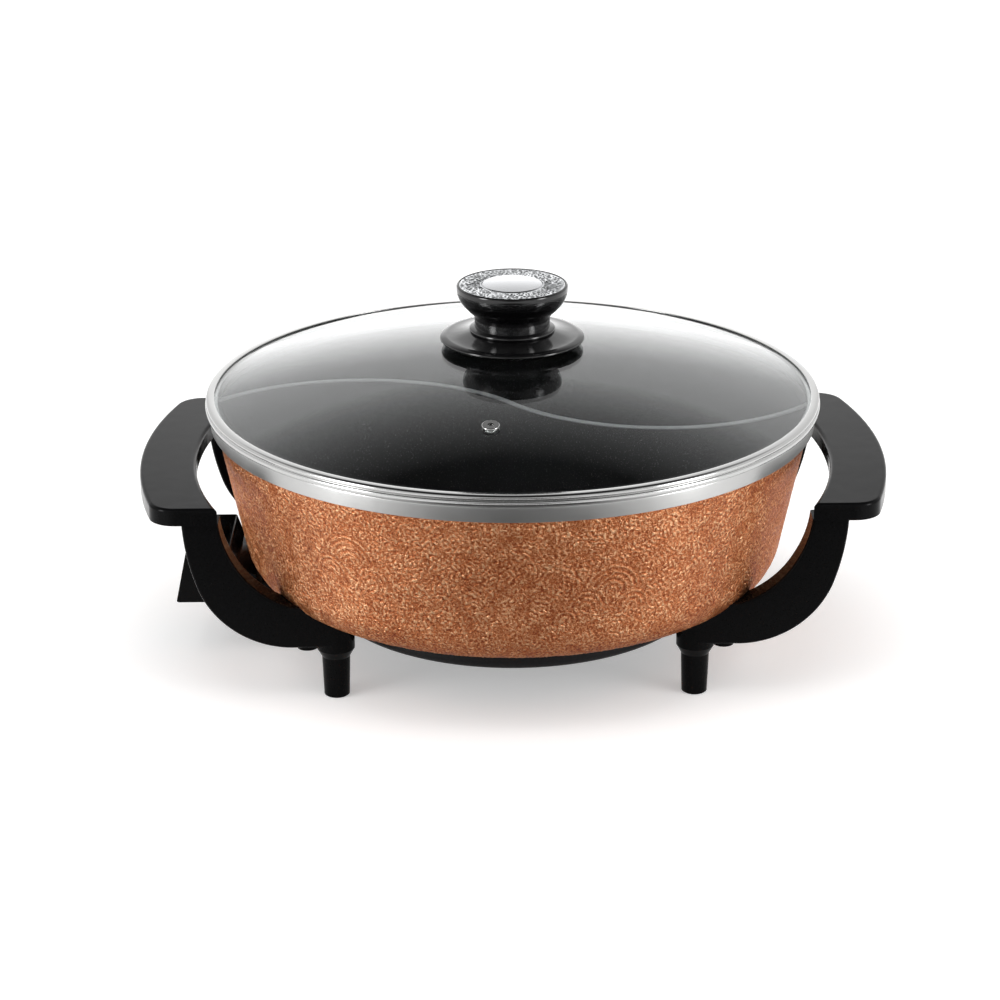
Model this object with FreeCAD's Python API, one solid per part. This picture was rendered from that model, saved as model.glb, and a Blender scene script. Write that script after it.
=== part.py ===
import FreeCAD, Part
import math
import os

# Electric hot pot with a lift-off glass lid, in millimetres.
# The origin is on the floor under the pot's axis, with +Z up and the front towards -Y.
# The plug-in temperature control sits at the pot's left side, towards -X.

# Clearance between pieces that are fastened or laid together
FIT_GAP = 0.3
SCREW_GAP = 0.1

# Pot shell
POT_FLOOR_Z = 46.0
POT_FLOOR_THICK = 4.5
POT_WALL = 3.0
POT_CORNER_R = 28.0
POT_WALL_ANGLE = 11.5
POT_WALL_TOP_Z = 142.0
POT_WALL_TOP_R = 173.8
BAND_STEP = 3.4
BAND_FLARE = 1.2
BAND_H = 9.4
BAND_CHAMFER = 0.8
RIM_WIDTH = 5.0
MOUTH_STEP = 2.5
BAND_LOW_R = POT_WALL_TOP_R + BAND_STEP
BAND_HIGH_R = BAND_LOW_R + BAND_FLARE
POT_RIM_Z = POT_WALL_TOP_Z + BAND_H
POT_MOUTH_R = BAND_HIGH_R - RIM_WIDTH
POT_MOUTH_LOW_Z = POT_WALL_TOP_Z + MOUTH_STEP

# Divider wall in the pot
DIVIDER_END_INSET = 1.8
DIVIDER_HALF_SPAN = (POT_WALL_TOP_R - DIVIDER_END_INSET) / 2
DIVIDER_SWING = 41.0
DIVIDER_TURN = -2.9
DIVIDER_THICK = 3.6
DIVIDER_TOP_DROP = 4.9
DIVIDER_TOP_Z = POT_RIM_Z - DIVIDER_TOP_DROP

# Grips, which stand off the pot's rim band
GRIP_BAND_GAP = 8.1
GRIP_DEPTH = 32.5
GRIP_INNER_R = BAND_HIGH_R + GRIP_BAND_GAP
GRIP_OUTER_X = GRIP_INNER_R + GRIP_DEPTH
GRIP_OUTER_ARC_R = 300.0
GRIP_OVERHANG = 2.0
GRIP_TOP_Z = 120.0
GRIP_THICK = 10.0
GRIP_CORNER_R = 16.0
GRIP_EDGE_R = 2.0
GRIP_POCKET_DROP = 17.0
GRIP_POCKET_Z = GRIP_TOP_Z - GRIP_THICK - GRIP_POCKET_DROP
GRIP_POCKET_H = 8.0
GRIP_POCKET_W = 11.0
GRIP_POCKET_DEPTH = 12.5
GRIP_SCREW_REACH = 6.0

# Handle arms, each a plate standing in the XZ plane.
# A step is how far a point of the outline lies in from the arm's top corner, and down from the grip's top
# or, from the lower curve on, down or up from the pot's floor.
ARM_FACE_Y = 95.0
ARM_THICK = 15.0
ARM_SETBACK = 31.0
ARM_TOP_WIDTH = 20.7
UPPER_OUTER_STEP = (2.5, 31.0)
UPPER_INNER_STEP = (2.5, 22.5)
ELBOW_OUTER_STEP = (8.0, 51.0)
ELBOW_INNER_STEP = (8.3, 35.5)
LOWER_OUTER_STEP = (26.0, 0.8)
LOWER_INNER_STEP = (20.8, 23.2)
TOE_OUTER_STEP = (64.5, 12.4)
TOE_INNER_STEP = (40.8, 12.5)
ARM_TOP_OUTER_X = GRIP_OUTER_X - ARM_SETBACK
ARM_TOP_INNER_X = ARM_TOP_OUTER_X - ARM_TOP_WIDTH
ARM_UPPER_MID_OUTER = (ARM_TOP_OUTER_X - UPPER_OUTER_STEP[0], GRIP_TOP_Z - UPPER_OUTER_STEP[1])
ARM_UPPER_MID_INNER = (ARM_TOP_INNER_X - UPPER_INNER_STEP[0], GRIP_TOP_Z - UPPER_INNER_STEP[1])
ARM_ELBOW_OUTER = (ARM_TOP_OUTER_X - ELBOW_OUTER_STEP[0], GRIP_TOP_Z - ELBOW_OUTER_STEP[1])
ARM_ELBOW_INNER = (ARM_TOP_INNER_X - ELBOW_INNER_STEP[0], GRIP_TOP_Z - ELBOW_INNER_STEP[1])
ARM_LOWER_MID_OUTER = (ARM_TOP_OUTER_X - LOWER_OUTER_STEP[0], POT_FLOOR_Z - LOWER_OUTER_STEP[1])
ARM_LOWER_MID_INNER = (ARM_TOP_INNER_X - LOWER_INNER_STEP[0], POT_FLOOR_Z + LOWER_INNER_STEP[1])
ARM_TOE_OUTER_X = ARM_TOP_OUTER_X - TOE_OUTER_STEP[0]
ARM_TOE_Z = POT_FLOOR_Z - TOE_OUTER_STEP[1]
ARM_TOE_INNER = (ARM_TOP_INNER_X - TOE_INNER_STEP[0], POT_FLOOR_Z + TOE_INNER_STEP[1])
ARM_EDGE = 1.5
GRIP_HALF_LENGTH = ARM_FACE_Y + GRIP_OVERHANG
GRIP_SCREW_X = ARM_TOP_INNER_X + ARM_TOP_WIDTH / 2

# Feet, flush with the arms' outer faces
FOOT_SETBACK = 20.0
FOOT_POST_R = 11.0
FOOT_X = ARM_TOE_OUTER_X - FOOT_SETBACK
FOOT_Y = ARM_FACE_Y - FOOT_POST_R
FOOT_TIP_R = 8.2
FOOT_TIP_LOW_R = 7.4
FOOT_POST_DROP = 9.0
FOOT_TIP_Z = ARM_TOE_Z - FOOT_POST_DROP
FOOT_CHAMFER = 5.0
FOOT_SPIGOT_R = 4.0
FOOT_SPIGOT_H = 8.0
PAD_H = 1.6
PAD_EDGE = 0.8
PAD_R = FOOT_TIP_LOW_R - PAD_EDGE
PAD_SINK = 1.0

# Screws that hold the arms to the pot, just outside the feet
ARM_SCREW_OUT = 16.0
ARM_SCREW_ASIDE = 2.0
ARM_SCREW_X = FOOT_X + ARM_SCREW_OUT
ARM_SCREW_Y = FOOT_Y + ARM_SCREW_ASIDE
ARM_BOSS_R = 6.0
ARM_BOSS_DROP = 5.0
ARM_BOSS_LOW_Z = POT_FLOOR_Z - ARM_BOSS_DROP
ARM_COLLAR_R = 6.0
ARM_COLLAR_DROP = 3.0

# Small screws
SCREW_R = 2.0
SCREW_HEAD_R = 3.8
SCREW_HEAD_H = 2.6
SCREW_REACH_COVER = 10.0
SCREW_REACH_ARM = 6.5
SMALL_SCREW_R = 1.3
SMALL_HEAD_R = 2.4
SMALL_HEAD_H = 1.5
SLOT_WIDTH = 1.0
SLOT_DEPTH = 1.2

# Base cover, which stands clear of the feet
COVER_FOOT_GAP = 8.9
COVER_R = math.hypot(FOOT_X, FOOT_Y) - FOOT_POST_R - COVER_FOOT_GAP
COVER_H = 19.5
COVER_BOTTOM_Z = POT_FLOOR_Z - COVER_H
COVER_SHEET = 1.2
COVER_CORNER_R = 5.0
COVER_HOLE_GAP = 0.4

# Heater under the floor, with its screws and slots inside its ring
ELEMENT_COVER_GAP = 28.4
ELEMENT_RING_R = COVER_R - ELEMENT_COVER_GAP
ELEMENT_TUBE_R = 3.75
ELEMENT_DROP = 7.5
ELEMENT_Z = POT_FLOOR_Z - ELEMENT_DROP
ELEMENT_GROOVE_GAP = 0.1
ELEMENT_RIB_SIDE = 3.0
ELEMENT_BEND_R = 10.0
COVER_SLOTS = 16
COVER_SLOT_INSET = 23.0
COVER_SLOT_R = ELEMENT_RING_R - COVER_SLOT_INSET
COVER_SLOT_LENGTH = 22.0
COVER_SLOT_WIDTH = 4.0
COVER_SCREWS = 3
COVER_SCREW_INSET = 24.0
COVER_SCREW_R = COVER_SLOT_R - COVER_SCREW_INSET
COVER_BOSS_R = 6.0

# Plug-in control, which leans along the pot's wall
CONTROL_INSET = 6.5
CONTROL_TOP_DEPTH = 25.8
CONTROL_SLOPE = 7.3
CONTROL_TOE = 14.7
CONTROL_TOE_H = 17.0
CONTROL_MID = (4.0, 22.0)
CONTROL_HALF_WIDTH = 28.0
CONTROL_H = 34.0
CONTROL_DROP = 4.5
CONTROL_BASE_H = 15.0
CONTROL_INNER_TOP_X = CONTROL_INSET - POT_WALL_TOP_R
CONTROL_INNER_X = CONTROL_INNER_TOP_X + CONTROL_TOE
CONTROL_OUTER_TOP_X = CONTROL_INNER_TOP_X - CONTROL_TOP_DEPTH
CONTROL_OUTER_LOW_X = CONTROL_OUTER_TOP_X - CONTROL_SLOPE
CONTROL_LOW_Z = ELEMENT_Z - CONTROL_DROP
CONTROL_TOP_Z = CONTROL_LOW_Z + CONTROL_H
CONTROL_INNER_LOW_Z = CONTROL_LOW_Z + CONTROL_TOE_H
CONTROL_INNER_MID = (CONTROL_INNER_TOP_X + CONTROL_MID[0], CONTROL_LOW_Z + CONTROL_MID[1])
CONTROL_WALL = 2.0
CONTROL_SPLIT_Z = CONTROL_LOW_Z + CONTROL_BASE_H
CONTROL_EDGE = 1.2
CONTROL_SCREW_IN = 2.0
CONTROL_SCREW_X = CONTROL_INNER_TOP_X + CONTROL_SCREW_IN
CONTROL_SCREW_INSET = 8.0
CONTROL_SCREW_Y = CONTROL_HALF_WIDTH - CONTROL_SCREW_INSET
CONTROL_POST_R = 4.0
CONTROL_POST_RISE = 24.0
CONTROL_POST_TOP_Z = CONTROL_LOW_Z + CONTROL_POST_RISE
CONTROL_SCREW_REACH = 16.0

# Guard round the terminals, from the base cover to the control
GUARD_CONTROL_GAP = 2.9
GUARD_OUTER_X = CONTROL_INNER_X + GUARD_CONTROL_GAP
GUARD_BACK_X = -COVER_R - FIT_GAP
GUARD_HALF_WIDTH = 25.0
GUARD_RISE = 1.5
GUARD_LOW_Z = COVER_BOTTOM_Z + GUARD_RISE
GUARD_HIGH_Z = POT_FLOOR_Z - 2 * FIT_GAP
GUARD_WALL = 2.2
GUARD_SCREW_INSET = 5.0
GUARD_SCREW_HALF_PITCH = GUARD_HALF_WIDTH - GUARD_SCREW_INSET
GUARD_SCREW_RISE = 6.0
GUARD_SCREW_Z = GUARD_LOW_Z + GUARD_SCREW_RISE
GUARD_SCREW_REACH = 2.6

# Terminals and the tube for the control's probe
TERMINAL_HALF_PITCH = 14.0
TERMINAL_ROOT_OUT = 6.6
TERMINAL_ROOT_X = -COVER_R - TERMINAL_ROOT_OUT
TERMINAL_PIN_R = 2.0
TERMINAL_TIP_IN = 3.7
TERMINAL_TIP_X = GUARD_OUTER_X + TERMINAL_TIP_IN
PROBE_R = 2.5
PROBE_RUN_GAP = 0.08
PROBE_TUBE_WALL = 0.9
PROBE_RING_GAP = 25.0
PROBE_ROOT_GAP = 2.0
PROBE_TUBE_INNER_X = PROBE_RING_GAP - ELEMENT_RING_R
PROBE_TUBE_OUTER_X = TERMINAL_ROOT_X + PROBE_ROOT_GAP

# Inside of the control
NOSE_GAP = 0.8
NOSE_ROOT_GAP = 1.0
NOSE_TIP_X = TERMINAL_ROOT_X - NOSE_ROOT_GAP
SLEEVE_WALL = 1.2
SLEEVE_RUN_GAP = 0.06
SLEEVE_HOLE_GAP = 0.1
SLEEVE_INSET = 4.6
SLEEVE_TIP_X = NOSE_TIP_X - SLEEVE_INSET
PROBE_TIP_GAP = 6.0
PROBE_TIP_X = PROBE_TUBE_INNER_X - PROBE_TIP_GAP
THERMOSTAT_LENGTH = 17.0
THERMOSTAT_OUT = 4.0
THERMOSTAT_HIGH_X = CONTROL_INNER_TOP_X - THERMOSTAT_OUT
THERMOSTAT_LOW_X = THERMOSTAT_HIGH_X - THERMOSTAT_LENGTH
THERMOSTAT_INSET = 17.0
THERMOSTAT_HALF_WIDTH = CONTROL_HALF_WIDTH - THERMOSTAT_INSET
THERMOSTAT_TOP_DROP = 12.0
THERMOSTAT_TOP_Z = CONTROL_TOP_Z - THERMOSTAT_TOP_DROP
LENS_INSET = 8.5
LENS_Y = LENS_INSET - CONTROL_HALF_WIDTH
LENS_LENGTH = 8.0
LENS_WIDTH = 3.0
LENS_PROUD = 0.4
INLET_OUT = 15.0
INLET_RISE = 7.5
INLET_X = CONTROL_INNER_TOP_X - INLET_OUT
INLET_Z = CONTROL_LOW_Z + INLET_RISE
INLET_BORE_R = 3.6
INLET_BODY_WALL = 1.3
INLET_BODY_R = INLET_BORE_R + INLET_BODY_WALL
INLET_FLANGE_WALL = 1.3
INLET_FLANGE_R = INLET_BODY_R + INLET_FLANGE_WALL
INLET_FLANGE_H = 1.8
INLET_REACH = 5.0

# Dial in the middle of the control's top
DIAL_EDGE = 1.9
DIAL_X = (CONTROL_INNER_TOP_X + CONTROL_OUTER_TOP_X) / 2
DIAL_R = CONTROL_TOP_DEPTH / 2 - DIAL_EDGE
DIAL_H = 4.6
DIAL_LIFT = 0.4
DIAL_FLUTES = 20
DIAL_FLUTE_R = 1.2
DIAL_POINTER_W = 3.4
DIAL_SINK = 1.4
DIAL_SHAFT_R = 3.0
DIAL_RUN_GAP = 0.06
DIAL_SHAFT_GRIP = 6.0
DIAL_SHAFT_IN = THERMOSTAT_TOP_DROP + DIAL_SHAFT_GRIP

# Lid glass, rim and seal, which lie on the pot's rim
LID_RIM_OVERHANG = 1.6
LID_RIM_R = BAND_HIGH_R + LID_RIM_OVERHANG
LID_RIM_LOW_Z = POT_RIM_Z + FIT_GAP
LID_RIM_H = 6.3
LID_RIM_SHEET = 0.8
LID_RIM_LIP = 5.3
LID_LEG_GAP = 0.7
LID_LEG_DROP = 3.4
SEAL_THICK = 0.8
SEAL_WIDTH = 4.2
GLASS_THICK = 3.9
GLASS_RISE = 29.0
GLASS_EDGE_GAP = 1.2
GLASS_FLAT = 4.0
DOME_TOP_Z = LID_RIM_LOW_Z + LID_RIM_SHEET + SEAL_THICK + GLASS_THICK + GLASS_RISE
VENT_X = -14.0
VENT_Y = -113.5
VENT_HOLE_R = 3.2
VENT_BARREL_GAP = 0.1
VENT_BARREL_R = VENT_HOLE_R - VENT_BARREL_GAP
VENT_BORE_R = 1.6
VENT_FLANGE_R = 5.0
VENT_FLANGE_H = 1.1
VENT_SEAT_GAP = 0.05

# Knob, whose heights are counted up from the dome's top
KNOB_FLANGE_R = 42.2
KNOB_FLANGE_EDGE = 1.2
KNOB_FLANGE_FOOT = 1.0
KNOB_FLANGE_RISE = 3.8
KNOB_SWEEP_H = 3.2
KNOB_NECK_R = 22.0
KNOB_BEAD_H = 2.4
KNOB_BEAD_PROUD = 2.4
KNOB_COLLAR_H = 0.6
KNOB_BOWL_R = 32.4
KNOB_STRAIGHT_H = 6.8
KNOB_SWELL_H = 15.0
KNOB_EDGE_H = 3.1
KNOB_FLANGE_TOP_R = KNOB_FLANGE_R - KNOB_FLANGE_EDGE
KNOB_FLANGE_TOP_Z = DOME_TOP_Z + KNOB_FLANGE_RISE
KNOB_NECK_FOOT_Z = KNOB_FLANGE_TOP_Z + KNOB_SWEEP_H
KNOB_BEAD_R = KNOB_NECK_R + KNOB_BEAD_PROUD
KNOB_SPLIT_Z = KNOB_NECK_FOOT_Z + KNOB_BEAD_H + KNOB_COLLAR_H
KNOB_BOWL_LOW_Z = KNOB_SPLIT_Z + KNOB_STRAIGHT_H
KNOB_BOWL_EDGE_Z = KNOB_BOWL_LOW_Z + KNOB_SWELL_H
KNOB_TOP_Z = KNOB_BOWL_EDGE_Z + KNOB_EDGE_H
KNOB_TOP_ROUND = 1.6
KNOB_SEAT_GAP = 0.45
CAP_EDGE = 1.4
CAP_RING_R = KNOB_BOWL_R - CAP_EDGE
CAP_RING_H = 1.8
MEDALLION_R = 18.0
MEDALLION_H = 2.6
MEDALLION_DOME = 0.8
CAP_GAP = 0.1
KNOB_SCREW_R = 2.5
KNOB_SCREW_HEAD_R = 5.0
KNOB_SCREW_HEAD_H = 3.0
KNOB_SCREW_REACH = 2.85
KNOB_WASHER_R = 9.0
KNOB_WASHER_H = 1.2
KNOB_SEAL_R = 8.0
KNOB_INSERT_WALL = 1.9
KNOB_INSERT_R = KNOB_SCREW_R + KNOB_INSERT_WALL
KNOB_INSERT_H = 12.0
KNOB_INSERT_GROOVE = 0.6
KNOB_HOLE_R = 3.2

SIDES = (("left", -1), ("right", 1))
ENDS = (("front", -1), ("rear", 1))
X_AXIS = FreeCAD.Vector(1, 0, 0)
Y_AXIS = FreeCAD.Vector(0, 1, 0)
Z_AXIS = FreeCAD.Vector(0, 0, 1)
ORIGIN = FreeCAD.Vector(0, 0, 0)
BIG = 600.0


def at(x, y, z):
    """A point in space."""
    return FreeCAD.Vector(x, y, z)


def wire_of(points):
    """A closed wire through 3-D points; a pair of points is an arc's middle and end."""
    edges = []
    first = points[0]
    here = first
    for step in points[1:] + [first]:
        if isinstance(step, tuple):
            middle, end = step
            edges.append(Part.Arc(here, middle, end).toShape())
        else:
            end = step
            if here.distanceToPoint(end) > 1e-6:
                edges.append(Part.makeLine(here, end))
        here = end
    return Part.Wire(edges)


def lathe(profile):
    """Turns a profile of (r, z) points, or ((r, z), (r, z)) arcs, round the pot's axis."""
    points = []
    for step in profile:
        if isinstance(step[0], tuple):
            (mr, mz), (r, z) = step
            points.append((at(mr, 0, mz), at(r, 0, z)))
        else:
            points.append(at(step[0], 0, step[1]))
    return Part.Face(wire_of(points)).revolve(ORIGIN, Z_AXIS, 360)


def plate_xz(outline, y_low, y_high):
    """A plate whose outline of (x, z) points or arcs runs from y_low to y_high."""
    points = []
    for step in outline:
        if isinstance(step[0], tuple):
            (mx, mz), (x, z) = step
            points.append((at(mx, y_low, mz), at(x, y_low, z)))
        else:
            points.append(at(step[0], y_low, step[1]))
    return Part.Face(wire_of(points)).extrude(at(0, y_high - y_low, 0))


def block(low, high):
    """A box between two corners."""
    size = [b - a for a, b in zip(low, high)]
    return Part.makeBox(size[0], size[1], size[2], at(*low))


def rod(radius, start, length, axis=Z_AXIS):
    """A round bar from a point along an axis."""
    return Part.makeCylinder(radius, length, start, axis)


def ring(outer, inner, z_low, height):
    """A flat ring round the pot's axis."""
    return rod(outer, at(0, 0, z_low), height).cut(rod(inner, at(0, 0, z_low), height))


def mirror_side(shape, side):
    """The same shape on the left (-1) or right (1) side; it is drawn on the right."""
    return shape if side > 0 else shape.mirror(ORIGIN, X_AXIS)


def mirror_end(shape, end):
    """The same shape at the front (-1) or rear (1) end; it is drawn at the front."""
    return shape if end < 0 else shape.mirror(ORIGIN, Y_AXIS)


def slotted_screw(head_r, head_h, shank_r, shank_length):
    """A screw pointing up, with its slotted head from z = 0 and its shank above the head."""
    head = rod(head_r, ORIGIN, head_h)
    slot = block((-head_r, -SLOT_WIDTH / 2, 0), (head_r, SLOT_WIDTH / 2, SLOT_DEPTH))
    return head.cut(slot).fuse(rod(shank_r, at(0, 0, head_h), shank_length))


def moved(shape, x, y, z):
    """A copy of a shape, moved."""
    copy = shape.copy()
    copy.translate(at(x, y, z))
    return copy


WALL_SIN = math.sin(math.radians(POT_WALL_ANGLE))
WALL_COS = math.cos(math.radians(POT_WALL_ANGLE))


def wall_curve(inset, floor_z):
    """Where the pot's corner starts, its middle and end, and the wall's top, for a skin set in by inset."""
    corner = POT_CORNER_R - inset
    centre_z = floor_z + corner
    top_r = POT_WALL_TOP_R - inset / WALL_COS
    centre_r = top_r + ((centre_z - POT_WALL_TOP_Z) * WALL_SIN - corner) / WALL_COS
    half = math.radians(90 - POT_WALL_ANGLE) / 2
    start = (centre_r, floor_z)
    middle = (centre_r + corner * math.sin(half), centre_z - corner * math.cos(half))
    end = (centre_r + corner * WALL_COS, centre_z - corner * WALL_SIN)
    return start, middle, end, (top_r, POT_WALL_TOP_Z)


def pot_outside(gap):
    """The solid that the pot fills up to its rim band, grown by gap."""
    start, middle, end, top = wall_curve(-gap, POT_FLOOR_Z - gap)
    return lathe([(0, start[1]), start, (middle, end), top, (0, top[1])])


def pot_inside():
    """The space inside the pot."""
    start, middle, end, top = wall_curve(POT_WALL, POT_FLOOR_Z + POT_FLOOR_THICK)
    return lathe([(0, start[1]), start, (middle, end), top, (POT_MOUTH_R, POT_MOUTH_LOW_Z),
                  (POT_MOUTH_R, POT_RIM_Z), (0, POT_RIM_Z)])


def cover_screw_places():
    """Where the base cover's screws stand, as x and y."""
    step = 2 * math.pi / COVER_SCREWS
    turns = [i * step for i in range(COVER_SCREWS)]
    return [(COVER_SCREW_R * math.cos(turn), COVER_SCREW_R * math.sin(turn)) for turn in turns]


def arm_screw_places():
    """Where the arms' screws stand, as x and y."""
    return [(sx * ARM_SCREW_X, sy * ARM_SCREW_Y) for _, sx in SIDES for _, sy in ENDS]


def arm_boss_h():
    """The height of an arm screw's boss, up to the pot's rounded underside above its axis."""
    centre_r = wall_curve(0, POT_FLOOR_Z)[0][0]
    out = math.hypot(ARM_SCREW_X, ARM_SCREW_Y) - centre_r
    return POT_FLOOR_Z + POT_CORNER_R - math.sqrt(POT_CORNER_R ** 2 - out ** 2) - ARM_BOSS_LOW_Z


def element_path():
    """The heater tube's centre line: a ring open at the left, with two ends that run out."""
    bend_y = TERMINAL_HALF_PITCH + ELEMENT_BEND_R
    reach = ELEMENT_RING_R + ELEMENT_BEND_R
    bend_x = -math.sqrt(reach ** 2 - bend_y ** 2)
    share = ELEMENT_RING_R / reach
    join_x, join_y = bend_x * share, bend_y * share
    turn = (math.radians(-90) + math.atan2(join_y - bend_y, join_x - bend_x)) / 2
    mid_x = bend_x + ELEMENT_BEND_R * math.cos(turn)
    mid_y = bend_y + ELEMENT_BEND_R * math.sin(turn)
    z = ELEMENT_Z
    edges = [
        Part.makeLine(at(TERMINAL_ROOT_X, TERMINAL_HALF_PITCH, z), at(bend_x, TERMINAL_HALF_PITCH, z)),
        Part.Arc(at(bend_x, TERMINAL_HALF_PITCH, z), at(mid_x, mid_y, z), at(join_x, join_y, z)).toShape(),
        Part.Arc(at(join_x, join_y, z), at(ELEMENT_RING_R, 0, z), at(join_x, -join_y, z)).toShape(),
        Part.Arc(at(join_x, -join_y, z), at(mid_x, -mid_y, z), at(bend_x, -TERMINAL_HALF_PITCH, z)).toShape(),
        Part.makeLine(at(bend_x, -TERMINAL_HALF_PITCH, z), at(TERMINAL_ROOT_X, -TERMINAL_HALF_PITCH, z)),
    ]
    return Part.Wire(edges)


def tube_along(path, radius):
    """A round bar that follows a path starting along X."""
    start = path.OrderedVertexes[0].Point
    circle = Part.Wire(Part.makeCircle(radius, start, X_AXIS))
    return path.makePipeShell([circle], True, True)


def heating_element():
    """The tubular heater ring."""
    return tube_along(element_path(), ELEMENT_TUBE_R)


def pot_body():
    """The cast pot with its rim band, heater rib and screw bosses."""
    start, middle, end, top = wall_curve(0, POT_FLOOR_Z)
    shell = lathe([
        (0, POT_FLOOR_Z), start, (middle, end), top, (BAND_LOW_R, POT_WALL_TOP_Z),
        (BAND_HIGH_R, POT_RIM_Z - BAND_CHAMFER), (BAND_HIGH_R - BAND_CHAMFER, POT_RIM_Z), (0, POT_RIM_Z),
    ])
    rib_half = ELEMENT_TUBE_R + ELEMENT_RIB_SIDE
    rib_top = POT_FLOOR_Z + POT_FLOOR_THICK / 2
    rib = ring(ELEMENT_RING_R + rib_half, ELEMENT_RING_R - rib_half, ELEMENT_Z, rib_top - ELEMENT_Z)
    notch_half = TERMINAL_HALF_PITCH + 2 * ELEMENT_BEND_R
    notch_low = (-ELEMENT_RING_R - 2 * rib_half, -notch_half, ELEMENT_Z)
    notch_high = (-ELEMENT_RING_R / 2, notch_half, rib_top)
    rib = rib.cut(block(notch_low, notch_high))
    groove = Part.makeTorus(ELEMENT_RING_R, ELEMENT_TUBE_R + ELEMENT_GROOVE_GAP, at(0, 0, ELEMENT_Z), Z_AXIS)
    shell = shell.fuse(rib.cut(groove))
    cover_inside_z = COVER_BOTTOM_Z + COVER_SHEET
    for x, y in cover_screw_places():
        shell = shell.fuse(rod(COVER_BOSS_R, at(x, y, cover_inside_z), rib_top - cover_inside_z))
    for x, y in arm_screw_places():
        shell = shell.fuse(rod(ARM_BOSS_R, at(x, y, ARM_BOSS_LOW_Z), arm_boss_h()))
    shell = shell.cut(pot_inside())
    hole = SCREW_R + SCREW_GAP
    for x, y in cover_screw_places():
        shell = shell.cut(rod(hole, at(x, y, cover_inside_z), SCREW_REACH_COVER + SCREW_GAP))
    for x, y in arm_screw_places():
        shell = shell.cut(rod(hole, at(x, y, ARM_BOSS_LOW_Z), SCREW_REACH_ARM + SCREW_GAP))
    return shell


def divider_face(z):
    """The divider's S-shaped plan, made of two arcs that meet on the pot's axis."""
    span, swing, half = DIVIDER_HALF_SPAN, DIVIDER_SWING, DIVIDER_THICK / 2
    radius = (span ** 2 + swing ** 2) / (2 * swing)
    depth = radius - swing
    lean = math.atan2(span, depth)
    reach = math.radians(8)

    def left(r, angle):
        return at(-span + r * math.sin(angle), -depth + r * math.cos(angle), z)

    def right(r, angle):
        return at(span - r * math.sin(angle), depth - r * math.cos(angle), z)

    out, inn = radius + half, radius - half
    points = [
        left(out, -lean - reach), (left(out, 0), left(out, lean)),
        (right(inn, 0), right(inn, -lean - reach)),
        right(out, -lean - reach), (right(out, 0), right(out, lean)),
        (left(inn, 0), left(inn, -lean - reach)),
    ]
    face = Part.Face(wire_of(points))
    face.rotate(ORIGIN, Z_AXIS, DIVIDER_TURN)
    return face


def divider_wall():
    """The wall that parts the pot in two, trimmed to the pot's inside."""
    base = POT_FLOOR_Z + POT_FLOOR_THICK
    return divider_face(base).extrude(at(0, 0, DIVIDER_TOP_Z - base)).common(pot_inside())


def terminal_pins():
    """The heater's two contact pins."""
    pins = []
    for side in (-1, 1):
        start = at(TERMINAL_ROOT_X, side * TERMINAL_HALF_PITCH, ELEMENT_Z)
        shaft = rod(TERMINAL_PIN_R, start, TERMINAL_ROOT_X - TERMINAL_TIP_X - TERMINAL_PIN_R, at(-1, 0, 0))
        tip_centre = at(TERMINAL_TIP_X + TERMINAL_PIN_R, side * TERMINAL_HALF_PITCH, ELEMENT_Z)
        tip = Part.makeSphere(TERMINAL_PIN_R, tip_centre)
        pins.append(shaft.fuse(tip))
    return Part.makeCompound(pins)


def probe_tube():
    """The closed tube that takes the control's temperature probe."""
    start = at(PROBE_TUBE_INNER_X, 0, ELEMENT_Z)
    bore_r = PROBE_R + PROBE_RUN_GAP
    length = PROBE_TUBE_INNER_X - PROBE_TUBE_OUTER_X
    body = rod(bore_r + PROBE_TUBE_WALL, start, length, at(-1, 0, 0))
    bore = rod(bore_r, start - at(PROBE_TUBE_WALL, 0, 0), length, at(-1, 0, 0))
    return body.cut(bore)


def terminal_cutters(gap):
    """Bars along X that clear the heater's ends and the probe tube."""
    start_x = TERMINAL_TIP_X
    cutters = []
    length = -start_x - COVER_R / 2
    for side in (-1, 1):
        start = at(start_x, side * TERMINAL_HALF_PITCH, ELEMENT_Z)
        cutters.append(rod(ELEMENT_TUBE_R + gap, start, length, X_AXIS))
    probe_r = PROBE_R + PROBE_RUN_GAP + PROBE_TUBE_WALL + gap
    cutters.append(rod(probe_r, at(start_x, 0, ELEMENT_Z), length, X_AXIS))
    return cutters


def guard_screw_starts():
    """The heads of the guard's screws, inside the guard."""
    x = GUARD_BACK_X - GUARD_WALL
    return [at(x, side * GUARD_SCREW_HALF_PITCH, GUARD_SCREW_Z) for side in (-1, 1)]


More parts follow.
